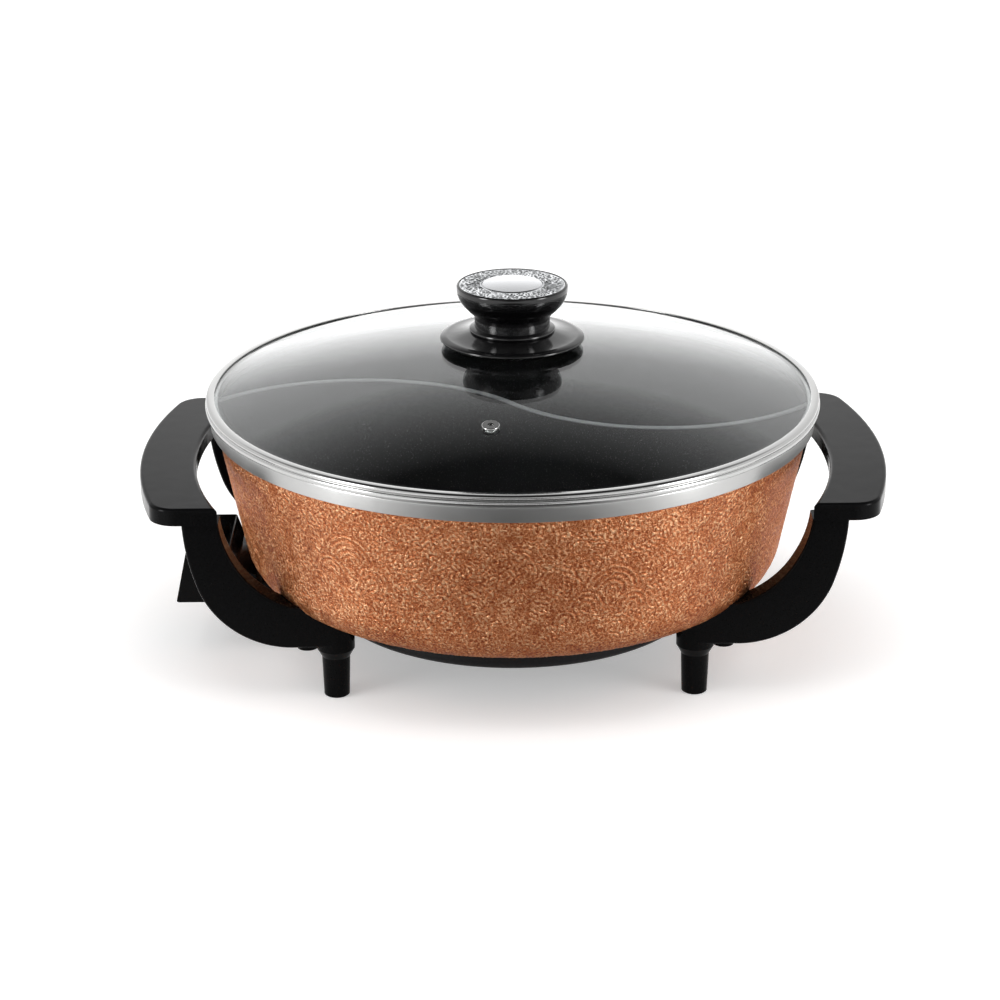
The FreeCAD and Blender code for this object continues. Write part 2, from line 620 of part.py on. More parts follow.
def base_cover():
    """The pressed cover under the heater."""
    high = POT_FLOOR_Z - FIT_GAP
    low, sheet, corner = COVER_BOTTOM_Z, COVER_SHEET, COVER_CORNER_R
    inner = corner - sheet
    bend = math.sin(math.radians(45))
    centre_r, centre_z = COVER_R - corner, low + corner
    pan = lathe([
        (0, low), (centre_r, low),
        ((centre_r + corner * bend, centre_z - corner * bend), (COVER_R, centre_z)),
        (COVER_R, high), (COVER_R - sheet, high), (COVER_R - sheet, centre_z),
        ((centre_r + inner * bend, centre_z - inner * bend), (centre_r, low + sheet)),
        (0, low + sheet),
    ])
    half_length, half_width = COVER_SLOT_LENGTH / 2, COVER_SLOT_WIDTH / 2
    slot = block((-half_length, -half_width, low), (half_length, half_width, low + sheet))
    slot.translate(at(COVER_SLOT_R, 0, 0))
    for i in range(COVER_SLOTS):
        turned = slot.copy()
        turned.rotate(ORIGIN, Z_AXIS, (i + 0.5) * 360 / COVER_SLOTS)
        pan = pan.cut(turned)
    for x, y in cover_screw_places():
        pan = pan.cut(rod(SCREW_R + SCREW_GAP, at(x, y, low), sheet))
    for cutter in terminal_cutters(COVER_HOLE_GAP):
        pan = pan.cut(cutter)
    for start in guard_screw_starts():
        pan = pan.cut(rod(SMALL_SCREW_R + SCREW_GAP, start, COVER_R / 4, X_AXIS))
    return pan


def terminal_guard():
    """The shroud round the terminals, open towards the control."""
    low = (GUARD_OUTER_X, -GUARD_HALF_WIDTH, GUARD_LOW_Z)
    high = (GUARD_BACK_X, GUARD_HALF_WIDTH, GUARD_HIGH_Z)
    shell = block(low, high)
    inner_low = (low[0] - 1, low[1] + GUARD_WALL, low[2] + GUARD_WALL)
    inner_high = (GUARD_BACK_X - GUARD_WALL, high[1] - GUARD_WALL, high[2] - GUARD_WALL)
    shell = shell.makeFillet(GUARD_WALL / 2, [e for e in shell.Edges if along_x(e)])
    shell = shell.cut(block(inner_low, inner_high))
    for cutter in terminal_cutters(COVER_HOLE_GAP):
        shell = shell.cut(cutter)
    for start in guard_screw_starts():
        shell = shell.cut(rod(SMALL_SCREW_R + SCREW_GAP, start, GUARD_WALL, X_AXIS))
    return shell


def along_x(edge):
    """True for a straight edge along X."""
    a, b = edge.Vertexes[0].Point, edge.Vertexes[-1].Point
    return abs(a.y - b.y) < 1e-6 and abs(a.z - b.z) < 1e-6


def along_y(edge):
    """True for a straight edge along Y."""
    a, b = edge.Vertexes[0].Point, edge.Vertexes[-1].Point
    return abs(a.x - b.x) < 1e-6 and abs(a.z - b.z) < 1e-6


def guard_screws():
    """The two screws that hold the guard to the base cover."""
    screws = []
    for start in guard_screw_starts():
        length = GUARD_WALL + COVER_SHEET + GUARD_SCREW_REACH
        screw = slotted_screw(SMALL_HEAD_R, SMALL_HEAD_H, SMALL_SCREW_R, length)
        screw.rotate(ORIGIN, Y_AXIS, 90)
        screw.translate(start - at(SMALL_HEAD_H, 0, 0))
        screws.append(screw)
    return Part.makeCompound(screws)


def base_screws():
    """The screws that hold the base cover to the pot's bosses."""
    z = COVER_BOTTOM_Z - SCREW_HEAD_H
    screw = slotted_screw(SCREW_HEAD_R, SCREW_HEAD_H, SCREW_R, COVER_SHEET + SCREW_REACH_COVER)
    return Part.makeCompound([moved(screw, x, y, z) for x, y in cover_screw_places()])


def arm():
    """The right front arm: a curved plate with a foot post and a screw seat."""
    arm_top = GRIP_TOP_Z - GRIP_THICK
    plate = plate_xz([
        (ARM_TOP_INNER_X, arm_top), (ARM_TOP_OUTER_X, arm_top),
        (ARM_UPPER_MID_OUTER, ARM_ELBOW_OUTER),
        (ARM_LOWER_MID_OUTER, (ARM_TOE_OUTER_X, ARM_TOE_Z)),
        (FOOT_X, ARM_TOE_Z), (FOOT_X, ARM_TOE_INNER[1]), ARM_TOE_INNER,
        (ARM_LOWER_MID_INNER, ARM_ELBOW_INNER),
        (ARM_UPPER_MID_INNER, (ARM_TOP_INNER_X, arm_top)),
    ], -ARM_FACE_Y, ARM_THICK - ARM_FACE_Y)
    plate = plate.makeFillet(ARM_EDGE, [e for e in plate.Edges if is_curved(e)])
    post_top = ARM_TOE_INNER[1]
    chamfer_z = FOOT_TIP_Z + FOOT_CHAMFER
    post = rod(FOOT_POST_R, at(FOOT_X, -FOOT_Y, chamfer_z), post_top - chamfer_z)
    cone = Part.makeCone(FOOT_TIP_R, FOOT_POST_R, FOOT_CHAMFER, at(FOOT_X, -FOOT_Y, FOOT_TIP_Z), Z_AXIS)
    seat_low = ARM_TOE_Z - ARM_COLLAR_DROP
    collar = rod(ARM_COLLAR_R, at(ARM_SCREW_X, -ARM_SCREW_Y, seat_low), ARM_BOSS_LOW_Z - seat_low)
    shape = plate.fuse(post).fuse(cone).fuse(collar)
    shape = shape.cut(pot_outside(FIT_GAP))
    spigot_h = FOOT_SPIGOT_H + SCREW_GAP
    shape = shape.cut(rod(FOOT_SPIGOT_R + SCREW_GAP, at(FOOT_X, -FOOT_Y, FOOT_TIP_Z), spigot_h))
    screw_foot = at(ARM_SCREW_X, -ARM_SCREW_Y, seat_low)
    boss_foot = at(ARM_SCREW_X, -ARM_SCREW_Y, ARM_BOSS_LOW_Z)
    shape = shape.cut(rod(ARM_BOSS_R + FIT_GAP, boss_foot, arm_boss_h() + FIT_GAP))
    shape = shape.cut(rod(SCREW_HEAD_R + FIT_GAP, screw_foot, arm_seat_z() - seat_low))
    shape = shape.cut(rod(SCREW_R + SCREW_GAP, screw_foot, ARM_BOSS_LOW_Z - seat_low))
    pocket_low = (GRIP_SCREW_X - GRIP_POCKET_W / 2, ARM_THICK - ARM_FACE_Y - GRIP_POCKET_DEPTH, GRIP_POCKET_Z)
    pocket_high = (GRIP_SCREW_X + GRIP_POCKET_W / 2, ARM_THICK - ARM_FACE_Y, GRIP_POCKET_Z + GRIP_POCKET_H)
    shape = shape.cut(block(pocket_low, pocket_high))
    return shape.cut(rod(SCREW_R + SCREW_GAP, at(GRIP_SCREW_X, -grip_screw_y(), GRIP_POCKET_Z), BIG / 10))


def arm_seat_z():
    """The height of the seat that an arm screw's head pulls up against."""
    return ARM_TOE_Z + SCREW_HEAD_H


def grip_screw_y():
    """How far from the middle plane the grip screws stand."""
    return ARM_FACE_Y - ARM_THICK / 2


def arm_screws():
    """The screws that hold the arms to the pot."""
    z = arm_seat_z() - SCREW_HEAD_H
    screw = slotted_screw(SCREW_HEAD_R, SCREW_HEAD_H, SCREW_R, ARM_BOSS_LOW_Z - arm_seat_z() + SCREW_REACH_ARM)
    return Part.makeCompound([moved(screw, x, y, z) for x, y in arm_screw_places()])


def foot():
    """The right front foot, with a spigot in its post and a hollow for its pad."""
    cone = Part.makeCone(FOOT_TIP_LOW_R, FOOT_TIP_R, FOOT_TIP_Z - PAD_H + PAD_SINK,
                         at(FOOT_X, -FOOT_Y, PAD_H - PAD_SINK), Z_AXIS)
    spigot = rod(FOOT_SPIGOT_R, at(FOOT_X, -FOOT_Y, FOOT_TIP_Z), FOOT_SPIGOT_H)
    hollow = rod(PAD_R + SCREW_GAP, at(FOOT_X, -FOOT_Y, PAD_H - PAD_SINK), PAD_SINK)
    return cone.fuse(spigot).cut(hollow)


def foot_pads():
    """The soft pads that the four feet stand on."""
    pads = [rod(PAD_R, at(sx * FOOT_X, sy * FOOT_Y, 0), PAD_H) for _, sx in SIDES for _, sy in ENDS]
    return Part.makeCompound(pads)


def grip_outer_x(y):
    """How far out the grip's outer edge lies at a distance y from the middle."""
    return GRIP_OUTER_X - GRIP_OUTER_ARC_R + math.sqrt(GRIP_OUTER_ARC_R ** 2 - y ** 2)


def grip():
    """The right grip: a curved bar that follows the pot's rim."""
    z = GRIP_TOP_Z - GRIP_THICK
    half = GRIP_HALF_LENGTH
    inner_x = ARM_TOP_INNER_X
    outline = wire_of([
        at(inner_x, -half, z), at(grip_outer_x(half), -half, z),
        (at(GRIP_OUTER_X, 0, z), at(grip_outer_x(half), half, z)),
        at(inner_x, half, z), (at(GRIP_INNER_R, 0, z), at(inner_x, -half, z)),
    ])
    bar = Part.Face(outline).extrude(at(0, 0, GRIP_THICK))
    corners = [e for e in bar.Edges if is_upright(e) and e.Vertexes[0].Point.x > GRIP_INNER_R]
    bar = bar.makeFillet(GRIP_CORNER_R, corners)
    top_edges = [e for e in bar.Edges if all(v.Point.z > GRIP_TOP_Z - 1e-6 for v in e.Vertexes)]
    bar = bar.makeFillet(GRIP_EDGE_R, top_edges)
    reach = GRIP_SCREW_REACH + SCREW_GAP
    for end in (-1, 1):
        bar = bar.cut(rod(SCREW_R + SCREW_GAP, at(GRIP_SCREW_X, end * grip_screw_y(), z), reach))
    return bar


def is_upright(edge):
    """True for a straight edge along Z."""
    a, b = edge.Vertexes[0].Point, edge.Vertexes[-1].Point
    return abs(a.x - b.x) < 1e-6 and abs(a.y - b.y) < 1e-6 and abs(a.z - b.z) > 1e-6


def is_curved(edge):
    """True for an edge that is an arc."""
    return not isinstance(edge.Curve, Part.Line)


def grip_screws():
    """The screws that hold the grips to the arms, in the arms' pockets."""
    roof = GRIP_POCKET_Z + GRIP_POCKET_H
    length = GRIP_TOP_Z - GRIP_THICK - roof + GRIP_SCREW_REACH
    screw = slotted_screw(SCREW_HEAD_R, SCREW_HEAD_H, SCREW_R, length)
    z = roof - SCREW_HEAD_H
    places = [(sx * GRIP_SCREW_X, sy * grip_screw_y()) for _, sx in SIDES for _, sy in ENDS]
    return Part.makeCompound([moved(screw, x, y, z) for x, y in places])


def glass_low_z():
    """The underside of the glass's flat edge."""
    return LID_RIM_LOW_Z + LID_RIM_SHEET + SEAL_THICK


def glass_edge_r():
    """The glass's outer radius."""
    return LID_RIM_R - LID_RIM_SHEET - GLASS_EDGE_GAP


def dome_radius():
    """The radius of the dome's outer sphere."""
    reach = glass_edge_r() - GLASS_FLAT
    return (reach ** 2 + GLASS_RISE ** 2) / (2 * GLASS_RISE)


def dome_z(r, depth=0.0):
    """The height of the dome's outer sphere, or of one depth under it, at radius r."""
    return DOME_TOP_Z - dome_radius() + math.sqrt((dome_radius() - depth) ** 2 - r ** 2)


def on_dome(shape):
    """A shape drawn on the dome's top, turned about the sphere's centre to the vent's place."""
    centre = at(0, 0, DOME_TOP_Z - dome_radius())
    away = math.hypot(VENT_X, VENT_Y)
    turn = math.degrees(math.asin(away / dome_radius()))
    turned = shape.copy()
    turned.rotate(centre, at(-VENT_Y, VENT_X, 0), turn)
    return turned


def lid_glass():
    """The domed glass with its centre hole and vent hole."""
    low, edge = glass_low_z(), glass_edge_r()
    reach = edge - GLASS_FLAT
    inner = math.sqrt((dome_radius() - GLASS_THICK) ** 2 - (low - DOME_TOP_Z + dome_radius()) ** 2)
    glass = lathe([
        (0, DOME_TOP_Z - GLASS_THICK), (0, DOME_TOP_Z),
        ((reach / 2, dome_z(reach / 2)), (reach, dome_z(reach))),
        (edge, low + GLASS_THICK), (edge, low), (inner, low),
        ((inner / 2, dome_z(inner / 2, GLASS_THICK)), (0, DOME_TOP_Z - GLASS_THICK)),
    ])
    hole_z = DOME_TOP_Z - GLASS_THICK * 2
    glass = glass.cut(rod(KNOB_HOLE_R, at(0, 0, hole_z), GLASS_THICK * 3))
    return glass.cut(on_dome(rod(VENT_HOLE_R, at(0, 0, hole_z), GLASS_THICK * 3)))


def lid_rim():
    """The folded steel rim, with a leg that centres it in the pot's mouth."""
    low, high = LID_RIM_LOW_Z, LID_RIM_LOW_Z + LID_RIM_H
    sheet = LID_RIM_SHEET
    leg_r = POT_MOUTH_R - LID_LEG_GAP
    wall = LID_RIM_R - sheet
    return lathe([
        (LID_RIM_R, low + sheet), (LID_RIM_R, high - sheet), (LID_RIM_R - sheet, high),
        (LID_RIM_R - LID_RIM_LIP, high), (LID_RIM_R - LID_RIM_LIP, high - sheet),
        (wall, high - sheet), (wall, low + sheet), (leg_r - sheet, low + sheet),
        (leg_r - sheet, low - LID_LEG_DROP), (leg_r, low - LID_LEG_DROP), (leg_r, low), (wall, low),
    ])


def rim_seal():
    """The clear seal between the glass and the rim."""
    outer = LID_RIM_R - LID_RIM_SHEET - FIT_GAP
    return ring(outer, outer - SEAL_WIDTH, LID_RIM_LOW_Z + LID_RIM_SHEET, SEAL_THICK)


def vent_eyelet():
    """The riveted eyelet that lets the steam out."""
    top = DOME_TOP_Z + VENT_SEAT_GAP
    low = DOME_TOP_Z - GLASS_THICK - 2 * VENT_SEAT_GAP
    barrel = rod(VENT_BARREL_R, at(0, 0, low), top - low)
    upper = rod(VENT_FLANGE_R, at(0, 0, top), VENT_FLANGE_H)
    upper = upper.makeFillet(VENT_FLANGE_H / 2, [e for e in upper.Edges if e.BoundBox.ZMin > top])
    lower = rod(VENT_FLANGE_R, at(0, 0, low - VENT_FLANGE_H), VENT_FLANGE_H)
    eyelet = barrel.fuse(upper).fuse(lower)
    return on_dome(eyelet.cut(rod(VENT_BORE_R, at(0, 0, low - VENT_FLANGE_H), BIG / 20)))


def knob_base():
    """The knob's flange and neck, which stand on the glass."""
    seat = DOME_TOP_Z + KNOB_SEAT_GAP
    rim_low = dome_z(KNOB_FLANGE_TOP_R) + KNOB_SEAT_GAP
    slope_r = (KNOB_FLANGE_TOP_R + KNOB_BEAD_R) / 2
    slope_z = KNOB_FLANGE_TOP_Z + (KNOB_NECK_FOOT_Z - KNOB_FLANGE_TOP_Z) / 4
    bead_top = KNOB_NECK_FOOT_Z + KNOB_BEAD_H
    return lathe([
        (KNOB_SEAL_R + FIT_GAP, seat), (KNOB_FLANGE_TOP_R, rim_low),
        (KNOB_FLANGE_R, rim_low + KNOB_FLANGE_FOOT),
        ((KNOB_FLANGE_R + FIT_GAP, (rim_low + KNOB_FLANGE_TOP_Z) / 2), (KNOB_FLANGE_TOP_R, KNOB_FLANGE_TOP_Z)),
        ((slope_r, slope_z), (KNOB_BEAD_R, KNOB_NECK_FOOT_Z)),
        ((KNOB_BEAD_R + KNOB_BEAD_H / 3, KNOB_NECK_FOOT_Z + KNOB_BEAD_H / 2), (KNOB_BEAD_R, bead_top)),
        (KNOB_NECK_R, KNOB_SPLIT_Z), (KNOB_HOLE_R, KNOB_SPLIT_Z), (KNOB_HOLE_R, seat + KNOB_BEAD_H),
        (KNOB_SEAL_R + FIT_GAP, seat + KNOB_BEAD_H),
    ])


def knob_grip():
    """The knob's bowl, with a seat for its cap ring and medallion."""
    top = KNOB_TOP_Z
    swell_r = KNOB_BOWL_R - (KNOB_BOWL_R - KNOB_NECK_R) * 2 / 5
    swell_z = (KNOB_BOWL_LOW_Z + KNOB_BOWL_EDGE_Z) / 2
    recess = top - CAP_RING_H
    bowl = lathe([
        (0, KNOB_SPLIT_Z), (KNOB_NECK_R, KNOB_SPLIT_Z), (KNOB_NECK_R, KNOB_BOWL_LOW_Z),
        ((swell_r, swell_z), (KNOB_BOWL_R, KNOB_BOWL_EDGE_Z)),
        (KNOB_BOWL_R, top - KNOB_TOP_ROUND), (CAP_RING_R + CAP_GAP, top),
        (CAP_RING_R + CAP_GAP, recess), (0, recess),
    ])
    bore = KNOB_INSERT_R + CAP_GAP
    return bowl.cut(rod(bore, at(0, 0, KNOB_SPLIT_Z), KNOB_INSERT_H + CAP_GAP))


def knob_insert():
    """The brass nut moulded into the knob."""
    nut = rod(KNOB_INSERT_R, at(0, 0, KNOB_SPLIT_Z), KNOB_INSERT_H)
    third = KNOB_INSERT_H / 3
    groove = ring(KNOB_INSERT_R, KNOB_INSERT_R - KNOB_INSERT_GROOVE, KNOB_SPLIT_Z + third, third)
    return nut.cut(groove).cut(rod(KNOB_SCREW_R + SCREW_GAP, at(0, 0, KNOB_SPLIT_Z), KNOB_INSERT_H))


def knob_cap_ring():
    """The bright ring let into the knob's top."""
    return ring(CAP_RING_R, MEDALLION_R + CAP_GAP, KNOB_TOP_Z - CAP_RING_H, CAP_RING_H)


def knob_medallion():
    """The plain domed disc in the middle of the knob's top."""
    low = KNOB_TOP_Z - CAP_RING_H
    high = low + MEDALLION_H - MEDALLION_DOME
    sphere = (MEDALLION_R ** 2 + MEDALLION_DOME ** 2) / (2 * MEDALLION_DOME)
    middle = high + MEDALLION_DOME - sphere + math.sqrt(sphere ** 2 - MEDALLION_R ** 2 / 4)
    return lathe([
        (0, low), (MEDALLION_R, low), (MEDALLION_R, high),
        ((MEDALLION_R / 2, middle), (0, high + MEDALLION_DOME)),
    ])


def knob_seal():
    """The soft washer between the knob and the glass."""
    seat = DOME_TOP_Z + VENT_SEAT_GAP
    return ring(KNOB_SEAL_R, KNOB_HOLE_R, seat, KNOB_SEAT_GAP + KNOB_BEAD_H - VENT_SEAT_GAP)


def knob_washer():
    """The steel washer under the glass."""
    return ring(KNOB_WASHER_R, KNOB_HOLE_R, knob_washer_low_z(), KNOB_WASHER_H)


def knob_washer_low_z():
    """The underside of the washer, clear of the curved glass above it."""
    return dome_z(KNOB_WASHER_R, GLASS_THICK) - VENT_SEAT_GAP - KNOB_WASHER_H


def knob_screw():
    """The screw that comes up through the glass into the knob's nut."""
    length = KNOB_SPLIT_Z + KNOB_INSERT_H - KNOB_SCREW_REACH - knob_washer_low_z()
    screw = slotted_screw(KNOB_SCREW_HEAD_R, KNOB_SCREW_HEAD_H, KNOB_SCREW_R, length)
    return moved(screw, 0, 0, knob_washer_low_z() - KNOB_SCREW_HEAD_H)


def control_outline():
    """The control's side view, as (x, z) points."""
    return [
        (CONTROL_INNER_X, CONTROL_LOW_Z), (CONTROL_INNER_X, CONTROL_INNER_LOW_Z), CONTROL_INNER_MID,
        (CONTROL_INNER_TOP_X, CONTROL_TOP_Z), (CONTROL_OUTER_TOP_X, CONTROL_TOP_Z),
        (CONTROL_OUTER_LOW_X, CONTROL_LOW_Z),
    ]


def control_shell():
    """The control's hollow housing before it is split."""
    half = CONTROL_HALF_WIDTH
    outside = plate_xz(control_outline(), -half, half)
    outside = outside.makeFillet(CONTROL_EDGE, [e for e in outside.Edges if along_y(e)])
    low_y = CONTROL_WALL - half
    outline = wire_of([at(x, low_y, z) for x, z in control_outline()])
    inner = Part.Face(outline.makeOffset2D(-CONTROL_WALL, 2))
    return outside.cut(inner.extrude(at(0, 2 * (half - CONTROL_WALL), 0)))


def control_zone(z_low, z_high):
    """A slab that holds all of the control between two heights."""
    return block((CONTROL_OUTER_LOW_X - BIG, -BIG, z_low), (CONTROL_INNER_X + BIG, BIG, z_high))


def control_post_places():
    """Where the control's screw posts stand, as x and y."""
    return [(CONTROL_SCREW_X, side * CONTROL_SCREW_Y) for side in (-1, 1)]


def control_base(shell):
    """The control's lower half."""
    base = shell.common(control_zone(0, CONTROL_SPLIT_Z))
    for start in sleeve_starts() + [at(CONTROL_INNER_X, 0, ELEMENT_Z)]:
        inner = start - at(CONTROL_WALL * 3 / 2, 0, 0)
        base = base.cut(rod(sleeve_outer_r() + SLEEVE_HOLE_GAP, inner, CONTROL_WALL * 2, X_AXIS))
    for x, y in control_post_places():
        base = base.cut(rod(SMALL_SCREW_R + SCREW_GAP, at(x, y, CONTROL_LOW_Z), CONTROL_WALL * 2))
    hole = rod(INLET_BODY_R + SCREW_GAP, at(INLET_X, 0, INLET_Z), BIG, Y_AXIS)
    return base.cut(hole)


def control_cover(shell):
    """The control's upper half, with its screw posts, dial hole and lens window."""
    cover = shell.common(control_zone(CONTROL_SPLIT_Z, BIG))
    floor_z = CONTROL_LOW_Z + CONTROL_WALL
    inside = plate_xz(control_outline(), CONTROL_WALL - CONTROL_HALF_WIDTH, CONTROL_HALF_WIDTH - CONTROL_WALL)
    for x, y in control_post_places():
        post = rod(CONTROL_POST_R, at(x, y, floor_z), CONTROL_POST_TOP_Z - floor_z)
        cover = cover.fuse(post.common(inside))
    for x, y in control_post_places():
        cover = cover.cut(rod(SMALL_SCREW_R + SCREW_GAP, at(x, y, floor_z), CONTROL_SCREW_REACH + SCREW_GAP))
    bore = rod(DIAL_SHAFT_R + DIAL_RUN_GAP, at(0, 0, -2 * CONTROL_WALL), 3 * CONTROL_WALL)
    cover = cover.cut(dial_place(bore))
    return cover.cut(lens_window(SCREW_GAP))


def lens_window(gap):
    """The block that the lens fills in the control's top, in front of the dial, grown by gap."""
    low = (DIAL_X - LENS_LENGTH / 2 - gap, LENS_Y - LENS_WIDTH / 2 - gap, CONTROL_TOP_Z - CONTROL_WALL)
    high = (DIAL_X + LENS_LENGTH / 2 + gap, LENS_Y + LENS_WIDTH / 2 + gap, CONTROL_TOP_Z + LENS_PROUD)
    return block(low, high)


def control_screws():
    """The screws that close the control from below."""
    screw = slotted_screw(SMALL_HEAD_R, SMALL_HEAD_H, SMALL_SCREW_R, CONTROL_WALL + CONTROL_SCREW_REACH)
    z = CONTROL_LOW_Z - SMALL_HEAD_H
    return Part.makeCompound([moved(screw, x, y, z) for x, y in control_post_places()])


def sleeve_starts():
    """The outer ends of the contact sleeves at the housing's inner face."""
    return [at(CONTROL_INNER_X, side * TERMINAL_HALF_PITCH, ELEMENT_Z) for side in (-1, 1)]


def sleeve_outer_r():
    """The contact sleeves' outer radius."""
    return TERMINAL_PIN_R + SLEEVE_RUN_GAP + SLEEVE_WALL


def contact_nose():
    """The block that carries the contact sleeves into the guard."""
    half = GUARD_HALF_WIDTH - GUARD_WALL - NOSE_GAP
    low = (CONTROL_INNER_X, -half, GUARD_LOW_Z + GUARD_WALL + NOSE_GAP)
    high = (NOSE_TIP_X, half, GUARD_HIGH_Z - GUARD_WALL - NOSE_GAP)
    nose = block(low, high)
    nose = nose.makeFillet(NOSE_GAP, [e for e in nose.Edges if along_x(e)])
    length = high[0] - low[0]
    for start in sleeve_starts():
        nose = nose.cut(rod(sleeve_outer_r() + SLEEVE_HOLE_GAP, start, length, X_AXIS))
    tube_r = PROBE_R + PROBE_RUN_GAP + PROBE_TUBE_WALL + NOSE_GAP
    nose = nose.cut(rod(PROBE_R + SLEEVE_HOLE_GAP, at(low[0], 0, ELEMENT_Z), length, X_AXIS))
    tube_end = PROBE_TUBE_OUTER_X - NOSE_GAP
    return nose.cut(rod(tube_r, at(tube_end, 0, ELEMENT_Z), BIG, X_AXIS)) if tube_end < high[0] else nose


def contact_sleeves():
    """The two sprung sleeves that grip the heater's pins."""
    sleeves = []
    length = SLEEVE_TIP_X - CONTROL_INNER_X
    for start in sleeve_starts():
        outer = rod(sleeve_outer_r(), start - at(CONTROL_WALL, 0, 0), length + CONTROL_WALL, X_AXIS)
        inner = rod(TERMINAL_PIN_R + SLEEVE_RUN_GAP, start, length, X_AXIS)
        sleeves.append(outer.cut(inner))
    return Part.makeCompound(sleeves)


def temperature_probe():
    """The probe rod that reaches into the tube under the pot."""
    start_x = THERMOSTAT_HIGH_X
    shaft = rod(PROBE_R, at(start_x, 0, ELEMENT_Z), PROBE_TIP_X - PROBE_R - start_x, X_AXIS)
    return shaft.fuse(Part.makeSphere(PROBE_R, at(PROBE_TIP_X - PROBE_R, 0, ELEMENT_Z)))


def thermostat_switch():
    """The switch block behind the dial."""
    low = (THERMOSTAT_LOW_X, -THERMOSTAT_HALF_WIDTH, CONTROL_LOW_Z + CONTROL_WALL)
    high = (THERMOSTAT_HIGH_X, THERMOSTAT_HALF_WIDTH, THERMOSTAT_TOP_Z)
    body = block(low, high)
    bore = rod(DIAL_SHAFT_R + DIAL_RUN_GAP, at(0, 0, -DIAL_SHAFT_IN - DIAL_LIFT), DIAL_SHAFT_IN + DIAL_LIFT)
    return body.cut(dial_place(bore))


def cord_inlet():
    """The bushed inlet for the supply cord in the control's rear wall."""
    wall = CONTROL_HALF_WIDTH
    body = rod(INLET_BODY_R, at(INLET_X, wall - INLET_REACH, INLET_Z), INLET_REACH, Y_AXIS)
    flange = rod(INLET_FLANGE_R, at(INLET_X, wall, INLET_Z), INLET_FLANGE_H, Y_AXIS)
    flange = flange.makeFillet(INLET_FLANGE_H / 3, [e for e in flange.Edges if e.BoundBox.YMin > wall + 1e-6])
    return body.fuse(flange).cut(rod(INLET_BORE_R, at(INLET_X, 0, INLET_Z), BIG, Y_AXIS))


def indicator_lens():
    """The lamp lens in the control's top."""
    return lens_window(0)


def dial_place(shape):
    """A shape drawn round the Z axis, moved onto the control's top."""
    return moved(shape, DIAL_X, 0, CONTROL_TOP_Z)


def dial_knob():
    """The dial, with a fluted edge and a raised pointer bar."""
    disc = rod(DIAL_R, at(0, 0, DIAL_LIFT), DIAL_H)
    for i in range(DIAL_FLUTES):
        turn = math.radians((i + 0.5) * 360 / DIAL_FLUTES)
        place = at(DIAL_R * math.cos(turn), DIAL_R * math.sin(turn), DIAL_LIFT)
        disc = disc.cut(rod(DIAL_FLUTE_R, place, DIAL_H))
    top = DIAL_LIFT + DIAL_H
    sink = ring(DIAL_R - DIAL_FLUTE_R * 2, DIAL_SHAFT_R, top - DIAL_SINK, DIAL_SINK)
    half = DIAL_POINTER_W / 2
    bar = block((-DIAL_R, -half, top - DIAL_SINK), (DIAL_R, half, top))
    disc = disc.cut(sink.cut(bar))
    return dial_place(disc.cut(rod(DIAL_SHAFT_R, at(0, 0, DIAL_LIFT), DIAL_H - DIAL_SINK * 2)))


def dial_shaft():
    """The spindle from the dial into the switch."""
    length = DIAL_SHAFT_IN + DIAL_LIFT + DIAL_H - DIAL_SINK * 2
    return dial_place(rod(DIAL_SHAFT_R, at(0, 0, -DIAL_SHAFT_IN), length))


def build():
    """All pieces by name."""
    shell = control_shell()
    pieces = {
        "pot_body": pot_body(), "divider_wall": divider_wall(), "heating_element": heating_element(),
        "terminal_pins": terminal_pins(), "probe_tube": probe_tube(), "base_cover": base_cover(),
        "base_screws": base_screws(), "terminal_guard": terminal_guard(), "guard_screws": guard_screws(),
        "arm_screws": arm_screws(), "grip_screws": grip_screws(), "foot_pads": foot_pads(),
        "lid_glass": lid_glass(), "lid_rim": lid_rim(), "rim_seal": rim_seal(), "vent_eyelet": vent_eyelet(),
        "knob_base": knob_base(), "knob_grip": knob_grip(), "knob_insert": knob_insert(),
        "knob_cap_ring": knob_cap_ring(), "knob_medallion": knob_medallion(), "knob_seal": knob_seal(),
        "knob_washer": knob_washer(), "knob_screw": knob_screw(),
        "control_base": control_base(shell), "control_cover": control_cover(shell),
        "control_screws": control_screws(), "contact_nose": contact_nose(),
        "contact_sleeves": contact_sleeves(),
        "temperature_probe": temperature_probe(), "thermostat_switch": thermostat_switch(),
        "cord_inlet": cord_inlet(), "indicator_lens": indicator_lens(),
        "dial_knob": dial_knob(), "dial_shaft": dial_shaft(),
    }
    arm_shape, foot_shape, grip_shape = arm(), foot(), grip()
    for side_name, side in SIDES:
        pieces[f"{side_name}_grip"] = mirror_side(grip_shape, side)
        for end_name, end in ENDS:
            pieces[f"{side_name}_{end_name}_arm"] = mirror_end(mirror_side(arm_shape, side), end)
            pieces[f"{side_name}_{end_name}_foot"] = mirror_end(mirror_side(foot_shape, side), end)
    return pieces


os.makedirs("parts", exist_ok=True)
for name, shape in sorted(build().items()):
    shape.exportStep(f"parts/{name}.step")
    box = shape.BoundBox
    corners = [round(v, 1) for v in (box.XMin, box.YMin, box.ZMin, box.XMax, box.YMax, box.ZMax)]
    state = f"solids {len(shape.Solids)} valid {shape.isValid()} volume {shape.Volume:12.1f}"
    print(f"{name:20s} {state} box {corners}")
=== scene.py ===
import logging
import math
from dataclasses import dataclass
from enum import Enum
from typing import Any, Sequence

import bpy
import numpy as np
from mathutils import Matrix, Vector


